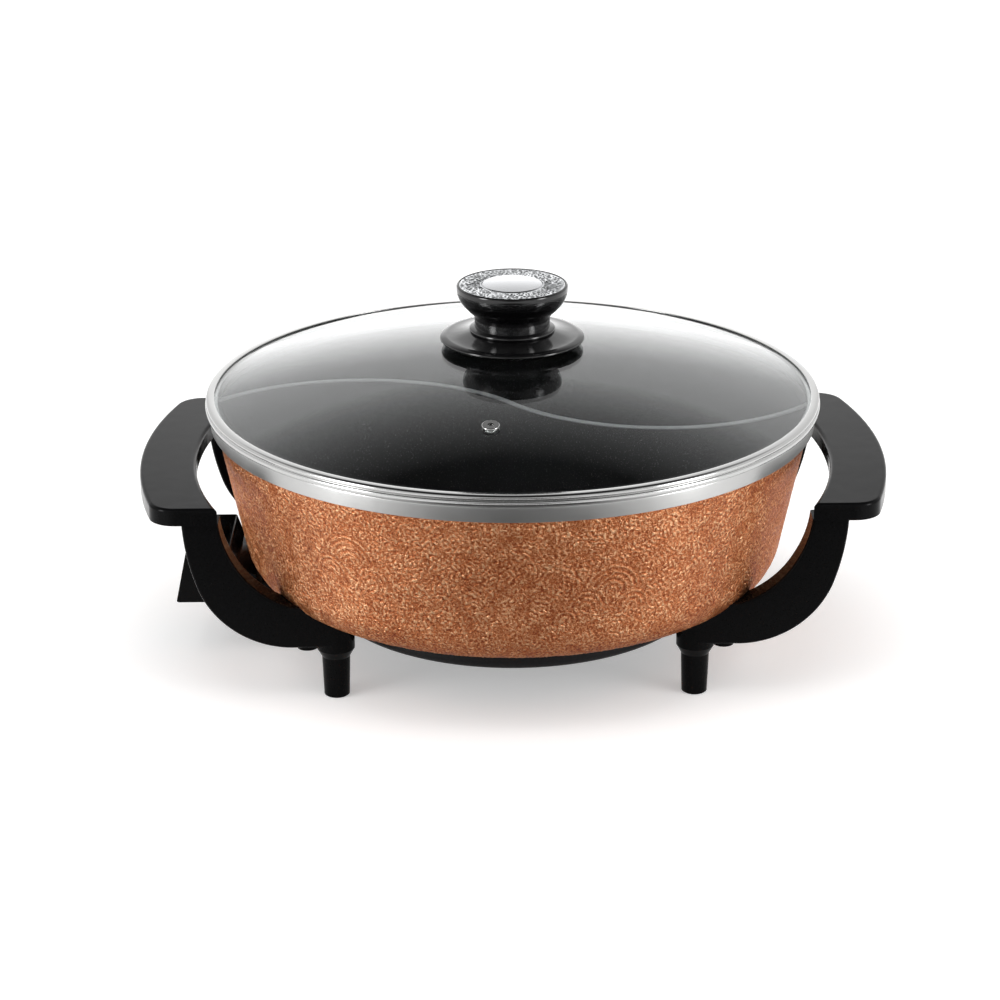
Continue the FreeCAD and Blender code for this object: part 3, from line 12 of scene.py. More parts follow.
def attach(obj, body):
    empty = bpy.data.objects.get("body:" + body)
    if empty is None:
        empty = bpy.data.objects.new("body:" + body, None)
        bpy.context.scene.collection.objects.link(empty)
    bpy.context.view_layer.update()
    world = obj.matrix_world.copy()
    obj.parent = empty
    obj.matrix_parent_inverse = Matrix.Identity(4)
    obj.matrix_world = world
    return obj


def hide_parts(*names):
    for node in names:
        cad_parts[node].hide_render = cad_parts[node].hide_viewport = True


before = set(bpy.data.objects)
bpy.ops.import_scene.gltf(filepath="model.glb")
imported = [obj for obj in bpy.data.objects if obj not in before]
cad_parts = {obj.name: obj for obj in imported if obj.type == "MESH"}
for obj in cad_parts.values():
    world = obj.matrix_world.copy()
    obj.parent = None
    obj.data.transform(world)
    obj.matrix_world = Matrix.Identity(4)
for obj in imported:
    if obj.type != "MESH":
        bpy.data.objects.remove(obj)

LOG = logging.getLogger("hot_pot")
MM = 0.001
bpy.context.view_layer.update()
Point = tuple[float, float]
MADE: dict[str, Any] = {}


class Body(Enum):
    """The bodies that pieces ride on."""

    POT = "pot"
    LID = "lid"
    CONTROL = "control"
    DIAL = "dial"


def linear(colour: str) -> tuple[float, float, float, float]:
    """Turns an sRGB hex colour into linear light.

    Args:
        colour: Six hex digits after a hash mark.

    Returns:
        Red, green, blue and an alpha of one.
    """
    parts = [int(colour[i:i + 2], 16) / 255 for i in (1, 3, 5)]
    red, green, blue = [p / 12.92 if p <= 0.04045 else ((p + 0.055) / 1.055) ** 2.4 for p in parts]
    return (red, green, blue, 1.0)


def add_node(tree: Any, kind: str, settings: dict[str, Any] | None = None,
             inputs: dict[Any, Any] | None = None) -> Any:
    """Adds a shader node with its settings, values and links.

    Args:
        tree: The node tree.
        kind: The node's type.
        settings: Properties of the node.
        inputs: Values by socket name or index; a (node, socket) pair is a link.

    Returns:
        The new node.
    """
    made = tree.nodes.new(kind)
    for key, value in (settings or {}).items():
        setattr(made, key, value)
    for key, value in (inputs or {}).items():
        socket = made.inputs[key]
        if isinstance(value, tuple) and hasattr(value[0], "outputs"):
            tree.links.new(value[0].outputs[value[1]], socket)
        else:
            socket.default_value = value
    return made


def ramp(tree: Any, source: tuple[Any, Any], stops: Sequence[tuple[float, str]]) -> Any:
    """Maps a value to colours.

    Args:
        tree: The node tree.
        source: The node and socket that give the value.
        stops: Places from 0 to 1, each with its hex colour.

    Returns:
        The colour ramp node.
    """
    made = add_node(tree, "ShaderNodeValToRGB", None, {"Fac": source})
    elements = made.color_ramp.elements
    while len(elements) < len(stops):
        elements.new(0.5)
    for element, (place, colour) in zip(elements, stops):
        element.position = place
        element.color = linear(colour)
    return made


@dataclass(frozen=True)
class Finish:
    """What all finishes share: a name, a colour and how the surface answers light."""

    name: str
    colour: str
    roughness: float
    metallic: float = 0.0
    ior: float = 1.5
    coat: float = 0.0
    coat_roughness: float = 0.1
    specular: float = 0.5
    edge: str = "#FFFFFF"
    anisotropic: float = 0.0

    def material(self) -> Any:
        """Makes the material, or finds it where it was made before.

        Returns:
            The material.
        """
        if self.name in MADE:
            return MADE[self.name]
        made = MADE[self.name] = bpy.data.materials.new(self.name)
        made.use_nodes = True
        tree = made.node_tree
        shader = tree.nodes["Principled BSDF"]
        values = {"Base Color": linear(self.colour), "Roughness": self.roughness, "Metallic": self.metallic,
                  "Coat Weight": self.coat, "Coat Roughness": self.coat_roughness,
                  "Specular IOR Level": self.specular, "Specular Tint": linear(self.edge),
                  "Anisotropic": self.anisotropic}
        if self.metallic < 1:
            values["IOR"] = self.ior
        for key, value in values.items():
            shader.inputs[key].default_value = value
        place = add_node(tree, "ShaderNodeTexCoord")
        self.pattern(tree, shader, (place, "Object"))
        return made

    def pattern(self, tree: Any, shader: Any, place: tuple[Any, Any]) -> None:
        """Adds the finish's own pattern; a finish overrides this."""

    def speckle(self, tree: Any, place: tuple[Any, Any], size_mm: float, detail: float = 3.0) -> Any:
        """Adds a noise whose blots measure size_mm across.

        Args:
            tree: The node tree.
            place: The coordinates.
            size_mm: The blots' real size.
            detail: How many finer layers the noise has.

        Returns:
            The noise node.
        """
        return add_node(tree, "ShaderNodeTexNoise", None,
                        {"Vector": place, "Scale": 1 / (size_mm * MM), "Detail": detail, "Roughness": 0.55})

    def vary(self, tree: Any, shader: Any, source: tuple[Any, Any], socket: str, low: float, high: float) -> None:
        """Drives a shader's socket from a pattern.

        Args:
            tree: The node tree.
            shader: The shader.
            source: The pattern's node and socket.
            socket: The shader's socket.
            low: The value where the pattern is 0.3.
            high: The value where the pattern is 0.7.
        """
        spread = add_node(tree, "ShaderNodeMapRange", None,
                          {"Value": source, "From Min": 0.3, "From Max": 0.7, "To Min": low, "To Max": high})
        tree.links.new(spread.outputs["Result"], shader.inputs[socket])

    def bump(self, tree: Any, shader: Any, source: tuple[Any, Any], depth_mm: float) -> None:
        """Roughens the surface's light by a pattern of a real depth.

        Args:
            tree: The node tree.
            shader: The shader.
            source: The pattern's node and socket.
            depth_mm: The pattern's height.
        """
        made = add_node(tree, "ShaderNodeBump", None, {"Strength": 1.0, "Distance": depth_mm * MM, "Height": source})
        tree.links.new(made.outputs["Normal"], shader.inputs["Normal"])


class CopperEnamel(Finish):
    """Copper-coloured baked enamel over cast relief, strokes 1.6 mm wide: painted shade darkens the hollows, a painted
    highlight pales the ridges.
    """

    def pattern(self, tree: Any, shader: Any, place: tuple[Any, Any]) -> None:
        """Colours by fine strokes and by the relief's height, under slow clouds; the height adds painted shade low and
        a painted highlight high.
        """
        height = add_node(tree, "ShaderNodeAttribute", {"attribute_name": "relief"})
        clouds = self.speckle(tree, place, 38.0, 2.0)
        strokes = self.speckle(tree, place, 1.6, 2.0)
        strokes.inputs["Distortion"].default_value = 1.4
        level = add_node(tree, "ShaderNodeMath", {"operation": "MULTIPLY_ADD"},
                         {0: (height, "Fac"), 1: 0.16, 2: (strokes, "Fac")})
        # the strokes give the enamel's own fine colour; the relief's share is painted shade in the hollows and a
        # painted highlight on the ridges
        tone = ramp(tree, (level, 0), ((0.38, "#90492A"), (0.5, "#B96C40"), (0.6, "#D58F62"), (0.74, "#F6C89C")))
        cloud_tone = ramp(tree, (clouds, "Fac"), ((0.35, "#DDCDC2"), (0.65, "#FFFFFF")))
        mixed = add_node(tree, "ShaderNodeMix", {"data_type": "RGBA", "blend_type": "MULTIPLY"},
                         {0: 0.6, 6: (tone, "Color"), 7: (cloud_tone, "Color")})
        tree.links.new(mixed.outputs[2], shader.inputs["Base Color"])
        self.vary(tree, shader, (strokes, "Fac"), "Roughness", self.roughness + 0.06, self.roughness - 0.06)
        self.bump(tree, shader, (level, 0), 0.75)


class TurnedAluminium(Finish):
    """Aluminium cut bright on a lathe: fine rings 0.6 mm apart, drawn coarser than real so that they show."""

    def pattern(self, tree: Any, shader: Any, place: tuple[Any, Any]) -> None:
        """Adds the lathe's rings and a faint haze."""
        rings = add_node(tree, "ShaderNodeTexWave", {"wave_type": "BANDS", "bands_direction": "Z"},
                         {"Vector": place, "Scale": 1 / (0.6 * MM) / 20, "Distortion": 0.6, "Detail": 2.0})
        haze = self.speckle(tree, place, 14.0, 2.0)
        self.vary(tree, shader, (haze, "Fac"), "Roughness", self.roughness, self.roughness + 0.06)
        self.bump(tree, shader, (rings, "Fac"), 0.01)
        shader.inputs["Anisotropic Rotation"].default_value = 0.25
        around = add_node(tree, "ShaderNodeTangent", {"direction_type": "RADIAL", "axis": "Z"})
        tree.links.new(around.outputs["Tangent"], shader.inputs["Tangent"])


class NonStick(Finish):
    """Baked non-stick coating: dark grey, softly shiny, with pale flecks of about 0.8 mm."""

    def pattern(self, tree: Any, shader: Any, place: tuple[Any, Any]) -> None:
        """Adds the flecks and a light orange peel."""
        flecks = self.speckle(tree, place, 0.8, 2.0)
        tone = ramp(tree, (flecks, "Fac"), ((0.0, self.colour), (0.6, self.colour), (0.74, "#5A5A5C")))
        tree.links.new(tone.outputs["Color"], shader.inputs["Base Color"])
        peel = self.speckle(tree, place, 2.0, 3.0)
        self.bump(tree, shader, (peel, "Fac"), 0.05)
        self.vary(tree, shader, (peel, "Fac"), "Roughness", self.roughness - 0.05, self.roughness + 0.08)


@dataclass(frozen=True)
class EdgedNonStick(NonStick):
    """The same coating on the divider, whose top edge turns light grey above a given height."""

    edge_z_mm: float = 0.0

    def pattern(self, tree: Any, shader: Any, place: tuple[Any, Any]) -> None:
        """Adds the coating, then the bright edge by height."""
        super().pattern(tree, shader, place)
        split = add_node(tree, "ShaderNodeSeparateXYZ", None, {"Vector": place})
        # blends the divider's top edge to light grey by height alone
        pale_top = add_node(tree, "ShaderNodeMapRange", None,
                        {"Value": (split, "Z"), "From Min": (self.edge_z_mm - 0.9) * MM,
                         "From Max": (self.edge_z_mm - 0.3) * MM})
        base = shader.inputs["Base Color"].links[0].from_socket
        mixed = add_node(tree, "ShaderNodeMix", {"data_type": "RGBA"},
                         {0: (pale_top, "Result"), 7: linear("#C9CACB")})
        tree.links.new(base, mixed.inputs[6])
        tree.links.new(mixed.outputs[2], shader.inputs["Base Color"])


class MouldedPhenolic(Finish):
    """Black heat-proof moulding: a glossy skin with a slight ripple from the tool, 9 mm from crest to crest."""

    def pattern(self, tree: Any, shader: Any, place: tuple[Any, Any]) -> None:
        """Adds the ripple, a fine dust of pits and a slow change of gloss."""
        ripple = self.speckle(tree, place, 9.0, 1.0)
        pits = self.speckle(tree, place, 0.7, 2.0)
        both = add_node(tree, "ShaderNodeMath", {"operation": "MULTIPLY_ADD"},
                        {0: (pits, "Fac"), 1: 0.12, 2: (ripple, "Fac")})
        self.bump(tree, shader, (both, "Value"), 0.05)
        self.vary(tree, shader, (ripple, "Fac"), "Roughness", self.roughness - 0.03, self.roughness + 0.06)
        tone = ramp(tree, (pits, "Fac"), ((0.3, self.colour), (0.75, "#0E0E0F")))
        tree.links.new(tone.outputs["Color"], shader.inputs["Base Color"])


class TemperedGlass(Finish):
    """Clear pressed glass, 4 mm thick and toughened, with a barely visible waviness."""

    def pattern(self, tree: Any, shader: Any, place: tuple[Any, Any]) -> None:
        """Lets light through, with a slow ripple of the surface."""
        shader.inputs["Transmission Weight"].default_value = 1.0
        ripple = self.speckle(tree, place, 60.0, 1.0)
        self.bump(tree, shader, (ripple, "Fac"), 0.02)


class DrawnMetal(Finish):
    """Plain metal, drawn, plated or pressed: a fine grain of 0.5 mm and a little haze."""

    def pattern(self, tree: Any, shader: Any, place: tuple[Any, Any]) -> None:
        """Adds the grain and the haze."""
        grain = self.speckle(tree, place, 0.5, 3.0)
        haze = self.speckle(tree, place, 12.0, 2.0)
        self.bump(tree, shader, (grain, "Fac"), 0.008)
        self.vary(tree, shader, (haze, "Fac"), "Roughness", self.roughness - 0.04, self.roughness + 0.08)


class BakedPaint(Finish):
    """Black heat-proof paint on pressed sheet: a dull crust of 1.5 mm grain."""

    def pattern(self, tree: Any, shader: Any, place: tuple[Any, Any]) -> None:
        """Adds the crust."""
        crust = self.speckle(tree, place, 1.5, 4.0)
        self.bump(tree, shader, (crust, "Fac"), 0.06)
        self.vary(tree, shader, (crust, "Fac"), "Roughness", self.roughness - 0.06, self.roughness + 0.1)
        tone = ramp(tree, (crust, "Fac"), ((0.3, self.colour), (0.8, "#18181A")))
        tree.links.new(tone.outputs["Color"], shader.inputs["Base Color"])


class CastRubber(Finish):
    """Soft moulded rubber or silicone: matt, with a fine 1 mm cloudiness."""

    def pattern(self, tree: Any, shader: Any, place: tuple[Any, Any]) -> None:
        """Adds the cloudiness."""
        cloud = self.speckle(tree, place, 1.0, 3.0)
        self.bump(tree, shader, (cloud, "Fac"), 0.03)
        self.vary(tree, shader, (cloud, "Fac"), "Roughness", self.roughness - 0.08, self.roughness + 0.08)


COPPER = CopperEnamel("copper_enamel", "#BC7C59", 0.34, metallic=0.9, coat=0.25, coat_roughness=0.3, edge="#B98C74")
TURNED = TurnedAluminium("turned_aluminium", "#B7B7B6", 0.3, metallic=1.0, anisotropic=0.8)
COATING = NonStick("baked_nonstick", "#232325", 0.5, specular=0.12)
MOULDED = MouldedPhenolic("moulded_phenolic", "#050505", 0.14, specular=0.06)
POLISHED = MouldedPhenolic("polished_phenolic", "#040404", 0.06, specular=0.5)
GLASS = TemperedGlass("toughened_glass", "#F4F7F7", 0.0, ior=1.5)
STAINLESS = DrawnMetal("polished_stainless", "#BDBDBC", 0.09, metallic=1.0)
ZINC = DrawnMetal("zinc_plated_steel", "#B9BCC0", 0.32, metallic=1.0)
SHEATH = DrawnMetal("heat_dulled_tube", "#6E6A66", 0.45, metallic=1.0)
BRASS = DrawnMetal("turned_brass", "#C9A45C", 0.28, metallic=1.0)
SILVER = DrawnMetal("silver_lacquer", "#D8DADC", 0.26, metallic=1.0)
CAP = DrawnMetal("bright_pressed_cap", "#B9BABC", 0.16, metallic=1.0)
SHEET = BakedPaint("baked_black_paint", "#0A0A0B", 0.45, specular=0.2)
RUBBER = CastRubber("moulded_rubber", "#18181A", 0.75, specular=0.2)
SILICONE = CastRubber("cured_silicone", "#B9BCBD", 0.45)
LENS = CastRubber("moulded_lens", "#D8D2CC", 0.25)


def rounded(points: Sequence[tuple[float, float, float]], steps: int = 5) -> list[Point]:
    """Rounds the corners of an outline.

    Args:
        points: Each corner's two coordinates and its radius, in mm; the first and last stay sharp.
        steps: The number of chords in a full rounding.

    Returns:
        The outline's points, in mm.
    """
    out: list[Point] = [points[0][:2]]
    for before, (x, y, radius), after in zip(points, points[1:], points[2:]):
        corner = np.array((x, y))
        inward = np.array(before[:2]) - corner
        outward = np.array(after[:2]) - corner
        size_in, size_out = np.hypot(*inward), np.hypot(*outward)
        if radius <= 0 or min(size_in, size_out) < 1e-9:
            out.append((x, y))
            continue
        inward, outward = inward / size_in, outward / size_out
        half = math.acos(float(np.clip(inward @ outward, -1, 1))) / 2
        cut = min(radius / math.tan(half), 0.49 * size_in, 0.49 * size_out)
        start, end = corner + inward * cut, corner + outward * cut
        for i in range(steps + 1):
            t = i / steps
            curve = (1 - t) ** 2 * start + 2 * t * (1 - t) * corner + t ** 2 * end
            out.append((float(curve[0]), float(curve[1])))
    out.append(points[-1][:2])
    return out


def arc(centre: Point, radius: float, start: float, end: float, steps: int) -> list[Point]:
    """Points on an arc.

    Args:
        centre: The arc's centre, in mm.
        radius: Its radius, in mm.
        start: The first angle, in degrees.
        end: The last angle, in degrees.
        steps: The number of chords.

    Returns:
        The points, in mm.
    """
    turns = np.radians(np.linspace(start, end, steps + 1))
    return [(centre[0] + radius * math.cos(t), centre[1] + radius * math.sin(t)) for t in turns]


def turned_mesh(name: str, profile: Sequence[Point], finishes: Sequence[Finish], segments: int = 256,
                bands: Sequence[int] | None = None, closed: bool = False, sharp: float = 32.0) -> Any:
    """Turns a profile round the pot's axis.

    Args:
        name: The piece's name.
        profile: Radius and height pairs, in mm.
        finishes: The piece's finishes.
        segments: How many steps go round.
        bands: Which finish each stretch of the profile takes.
        closed: Whether the profile's end joins its start.
        sharp: The angle past which an edge stays crisp, in degrees.

    Returns:
        The object.
    """
    turns = np.linspace(0, 2 * math.pi, segments, endpoint=False)
    verts: list[tuple[float, float, float]] = []
    rows: list[list[int]] = []
    for radius, height in profile:
        start = len(verts)
        if radius < 1e-6:
            verts.append((0.0, 0.0, height * MM))
            rows.append([start] * segments)
        else:
            verts.extend((radius * MM * math.cos(t), radius * MM * math.sin(t), height * MM) for t in turns)
            rows.append(list(range(start, start + segments)))
    pairs = list(zip(rows, rows[1:] + rows[:1]))[:None if closed else -1]
    faces, owners = [], []
    for k, (low, high) in enumerate(pairs):
        for i in range(segments):
            j = (i + 1) % segments
            corners = list(dict.fromkeys((low[i], low[j], high[j], high[i])))
            if len(corners) > 2:
                faces.append(corners)
                owners.append(bands[k] if bands else 0)
    return mesh_object(name, verts, faces, finishes, owners, sharp)


def mesh_object(name: str, verts: Sequence[Any], faces: Sequence[Any], finishes: Sequence[Finish],
                owners: Sequence[int] | None = None, sharp: float = 32.0) -> Any:
    """Makes an object from vertices and faces, with smooth shading.

    Args:
        name: The piece's name.
        verts: Its vertices, in metres.
        faces: Its faces.
        finishes: Its finishes.
        owners: Which finish each face takes.
        sharp: The angle past which an edge stays crisp, in degrees.

    Returns:
        The object.
    """
    mesh = bpy.data.meshes.new(name)
    mesh.from_pydata(verts, [], faces)
    for finish in finishes:
        mesh.materials.append(finish.material())
    if owners:
        mesh.polygons.foreach_set("material_index", list(owners))
    mesh.shade_smooth()
    mesh.set_sharp_from_angle(angle=math.radians(sharp))
    mesh.update()
    made = bpy.data.objects.new(name, mesh)
    bpy.context.scene.collection.objects.link(made)
    return made


def place(piece: Any, body: Body, slot: str, *nodes: str) -> Any:
    """Settles a piece: its body and the nodes it stands for.

    Args:
        piece: The object.
        body: The body it rides on.
        slot: The record's material slot; not used.
        nodes: The nodes it replaces.

    Returns:
        The piece.
    """
    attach(piece, body.value)
    if nodes:
        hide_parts(*nodes)
    LOG.info("piece %s rides on %s", piece.name, body.value)
    return piece


def dress(node: str, finish: Finish, sharp: float = 32.0) -> None:
    """Gives a carried-over node its finish and smooth shading.

    Args:
        node: The node's name.
        finish: Its finish.
        sharp: The angle past which an edge stays crisp, in degrees.
    """
    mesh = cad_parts[node].data
    mesh.materials.clear()
    mesh.materials.append(finish.material())
    mesh.shade_smooth()
    mesh.set_sharp_from_angle(angle=math.radians(sharp))
    LOG.info("node %s is %s", node, finish.name)


def band_noise(rows: int, columns: int, step: float, wave: float, seed: int) -> np.ndarray:
    """A field of even-sized blots that joins up from end to end.

    Args:
        rows: Samples down.
        columns: Samples across.
        step: The distance between samples, in mm.
        wave: The distance from blot to blot, in mm.
        seed: The seed of its random start.

    Returns:
        The field, with a spread of one.
    """
    start = np.random.default_rng(seed).standard_normal((rows, columns))
    fy = np.fft.fftfreq(rows, step)[:, None]
    fx = np.fft.rfftfreq(columns, step)[None, :]
    size = np.hypot(fx, fy) * wave
    kept = np.fft.rfft2(start) * np.exp(-((size - 1) / 0.3) ** 2)
    made = np.fft.irfft2(kept, s=(rows, columns))
    return made / made.std()


def step_between(low: float, high: float, value: np.ndarray) -> np.ndarray:
    """A smooth step from 0 at low to 1 at high."""
    t = np.clip((value - low) / (high - low), 0, 1)
    return t * t * (3 - 2 * t)


@dataclass
class PotCasting:
    """The cast pot: its plain casting and its textured skin.

    The wall's path runs from under the rim band down round the corner and in under the floor.
    """

    floor_z: float = 46.0
    floor_thick: float = 4.5
    wall: float = 3.0
    corner_r: float = 28.0
    lean: float = 11.5
    wall_top: Point = (173.8, 142.0)
    band_low_r: float = 177.2
    band_high_r: float = 178.4
    rim_z: float = 151.4
    mouth_r: float = 173.4
    mouth_low_z: float = 144.5
    skin_end_r: float = 108.0
    skin_step: float = 0.82
    skin_lift: float = 0.12
    ridge: float = 0.3
    worm_wave: float = 2.7
    panels: int = 4
    scrolls: int = 7

    def curve(self, inset: float, floor_z: float) -> list[Point]:
        """The wall's profile from the floor's edge to the wall's top.

        Args:
            inset: How far inside the outer face it runs, in mm.
            floor_z: The height of its flat part, in mm.

        Returns:
            The profile's points, in mm.
        """
        lean = math.radians(self.lean)
        corner = self.corner_r - inset
        centre_z = floor_z + corner
        top_r = self.wall_top[0] - inset / math.cos(lean)
        drop = (centre_z - self.wall_top[1]) * math.sin(lean)
        centre_r = top_r + (drop - corner) / math.cos(lean)
        return arc((centre_r, centre_z), corner, -90, -self.lean, 24) + [(top_r, self.wall_top[1])]

    def build(self) -> None:
        """Makes the casting and the skin."""
        self.casting()
        self.skin()

    def casting(self) -> None:
        """Makes the floor, wall, rim band and inside, which keep out of the skin's way."""
        outside = [(0.0, self.floor_z)] + self.curve(0.5, self.floor_z + 0.5)
        rim = rounded([
            (*outside[-1], 0), (self.band_low_r, self.wall_top[1], 0.4), (self.band_high_r, self.rim_z, 1.0),
            (self.mouth_r, self.rim_z, 0.6), (self.mouth_r, self.mouth_low_z, 0),
        ])[1:]
        inside = self.curve(self.wall, self.floor_z + self.floor_thick)[::-1]
        profile = outside + rim + inside + [(0.0, self.floor_z + self.floor_thick)]
        bands = [0] * (len(outside) - 1) + [1] * len(rim) + [2] * (len(inside) + 1)
        piece = turned_mesh("pot_casting", profile, (COPPER, TURNED, COATING), 360, bands)
        place(piece, Body.POT, "cast_coated_aluminium", "pot_body")

    def skin_path(self) -> tuple[np.ndarray, np.ndarray]:
        """The skin's profile and its outward normals, from the band down.

        Returns:
            The points and the normals, one row each, in mm.
        """
        points = np.array([(self.skin_end_r, self.floor_z)] + self.curve(0, self.floor_z))[::-1]
        runs = np.hypot(*np.diff(points, axis=0).T)
        along = np.concatenate(([0], np.cumsum(runs)))
        count = int(along[-1] / self.skin_step)
        at = np.linspace(0, along[-1], count)
        path = np.column_stack([np.interp(at, along, points[:, i]) for i in (0, 1)])
        slope = np.gradient(path, axis=0)
        normal = np.column_stack((-slope[:, 1], slope[:, 0]))
        return path, normal / np.hypot(*normal.T)[:, None]

    def relief(self, rows: int, columns: int) -> np.ndarray:
        """The cast texture: short worm-like ridges with generic cloud scrolls let in.

        Args:
            rows: Samples down the wall.
            columns: Samples round it.

        Returns:
            Heights from 0 to 1.
        """
        worms = step_between(-0.7, 1.3, band_noise(rows, columns, self.skin_step, self.worm_wave, 11))
        strength = step_between(-1.4, 0.2, band_noise(rows, columns, self.skin_step, 17.0, 5))
        height = worms * (0.35 + 0.65 * strength)
        across = (np.arange(columns) * self.skin_step)[None, :]
        down = (np.arange(rows) * self.skin_step)[:, None]
        girth = columns * self.skin_step
        random = np.random.default_rng(23)
        for i in range(self.scrolls):
            x = girth * (i + 0.35) / self.scrolls
            y = 34.0 + 22.0 * random.random()
            flip = 1 if i % 2 else -1
            for dx, dy, radius in ((0, 0, 19.0), (15, 9, 13.0), (-14, 11, 12.0), (27, 17, 8.0)):
                gap = (across - x - flip * dx + girth / 2) % girth - girth / 2
                rise = down - y - dy
                far = np.hypot(gap, rise)
                fan = step_between(-2.0, 1.0, -rise) * (1 - step_between(radius - 0.8, radius + 0.8, far))
                lines = step_between(0.25, 0.8, np.cos(2 * math.pi * far / 3.3 + 0.6))
                height = height * (1 - fan) + lines * fan * 0.85
        fade = step_between(0.0, 4.0, down) * np.ones_like(across)
        return height * fade

    def skin(self) -> None:
        """Makes the textured skin in panels that share their normals."""
        path, normal = self.skin_path()
        girth = 2 * math.pi * self.wall_top[0]
        columns = int(girth / self.skin_step / self.panels) * self.panels
        height = self.relief(len(path), columns)
        lift = self.skin_lift + self.ridge * height
        turns = np.linspace(0, 2 * math.pi, columns, endpoint=False) - math.pi / 2
        radius = path[:, 0:1] + normal[:, 0:1] * lift
        z = path[:, 1:2] + normal[:, 1:2] * lift
        points = np.stack((radius * np.cos(turns), radius * np.sin(turns), z), axis=2) * MM
        around = np.roll(points, -1, axis=1) - np.roll(points, 1, axis=1)
        along = np.gradient(points, axis=0)
        normals = np.cross(around, along)
        normals /= np.linalg.norm(normals, axis=2, keepdims=True)
        outward = normals[..., 0] * np.cos(turns) + normals[..., 1] * np.sin(turns)
        if outward.mean() < 0:
            normals = -normals
        share = columns // self.panels
        for panel in range(self.panels):
            picked = (np.arange(share + 1) + panel * share) % columns
            self.panel(f"pot_skin_{panel + 1}", points[:, picked], normals[:, picked], height[:, picked])

    def panel(self, name: str, points: np.ndarray, normals: np.ndarray, height: np.ndarray) -> None:
        """Makes one panel of the skin.

        Args:
            name: The panel's name.
            points: Its grid of points, in metres.
            normals: Its normals.
            height: The relief there, kept for the finish.
        """
        rows, columns = height.shape
        index = np.arange(rows * columns).reshape(rows, columns)
        quads = np.stack((index[:-1, :-1], index[1:, :-1], index[1:, 1:], index[:-1, 1:]), axis=2).reshape(-1, 4)
        piece = mesh_object(name, points.reshape(-1, 3).tolist(), quads.tolist(), (COPPER,), sharp=180.0)
        kept = piece.data.attributes.new("relief", "FLOAT", "POINT")
        kept.data.foreach_set("value", height.reshape(-1).astype(np.float32))
        piece.data.normals_split_custom_set_from_vertices(normals.reshape(-1, 3).tolist())
        place(piece, Body.POT, "cast_coated_aluminium", "pot_body")


@dataclass
class Lid:
    """The glass lid: its domed glass and its rim."""

    rim_r: float = 180.0
    rim_low: float = 151.7
    rim_height: float = 6.3
    sheet: float = 0.8
    lip: float = 5.3
    leg_r: float = 172.7
    leg_drop: float = 3.4
    glass_thick: float = 3.9
    glass_rise: float = 29.0
    glass_edge_r: float = 178.0
    glass_flat: float = 4.0
    seal: float = 0.8

    def build(self) -> None:
        """Makes the glass and the rim."""
        self.glass()
        self.rim()

    def glass(self) -> None:
        """Makes the domed glass as one closed turned shell."""
        low = self.rim_low + self.sheet + self.seal
        reach = self.glass_edge_r - self.glass_flat
        sphere = (reach ** 2 + self.glass_rise ** 2) / (2 * self.glass_rise)
        centre = low + self.glass_thick + self.glass_rise - sphere
        angle = math.degrees(math.asin(reach / sphere))
        outer = arc((0, centre), sphere, 90, 90 - angle, 64)
        inner_r = sphere - self.glass_thick
        inner_angle = math.degrees(math.acos((low - centre) / inner_r))
        inner = arc((0, centre), inner_r, 90 - inner_angle, 90, 64)
        edge = rounded([(*outer[-1], 0), (self.glass_edge_r, low + self.glass_thick, 1.2),
                        (self.glass_edge_r, low, 1.2), (*inner[0], 0)])[1:-1]
        outer[0], inner[-1] = (0.0, outer[0][1]), (0.0, inner[-1][1])
        piece = turned_mesh("domed_glass", (outer + edge + inner)[::-1], (GLASS,), 256, sharp=60.0)
        place(piece, Body.LID, "tempered_glass", "lid_glass")

    def rim(self) -> None:
        """Makes the folded steel rim with its rolled outer edge."""
        low, high, sheet = self.rim_low, self.rim_low + self.rim_height, self.sheet
        wall = self.rim_r - sheet
        roll = arc((self.rim_r - 1.7, low + 1.7), 1.7, 0, 62, 6)
        shoulder = arc((self.rim_r - 2.3, high - 1.9), 1.9, -20, 90, 8)
        corners = [
            *[(*point, 0) for point in roll + shoulder], (self.rim_r - self.lip, high, 0.3),
            (self.rim_r - self.lip, high - sheet, 0.3), (wall, high - sheet, 0.6), (wall, low + sheet, 0.6),
            (self.leg_r - sheet, low + sheet, 0.5), (self.leg_r - sheet, low - self.leg_drop, 0.2),
            (self.leg_r, low - self.leg_drop, 0.2), (self.leg_r, low, 0.5), (self.rim_r, low, 1.2),
            (*roll[0], 0),
        ]
        piece = turned_mesh("folded_rim", rounded(corners)[:-1], (STAINLESS,), 360, closed=True)
        place(piece, Body.LID, "stainless_rim", "lid_rim")


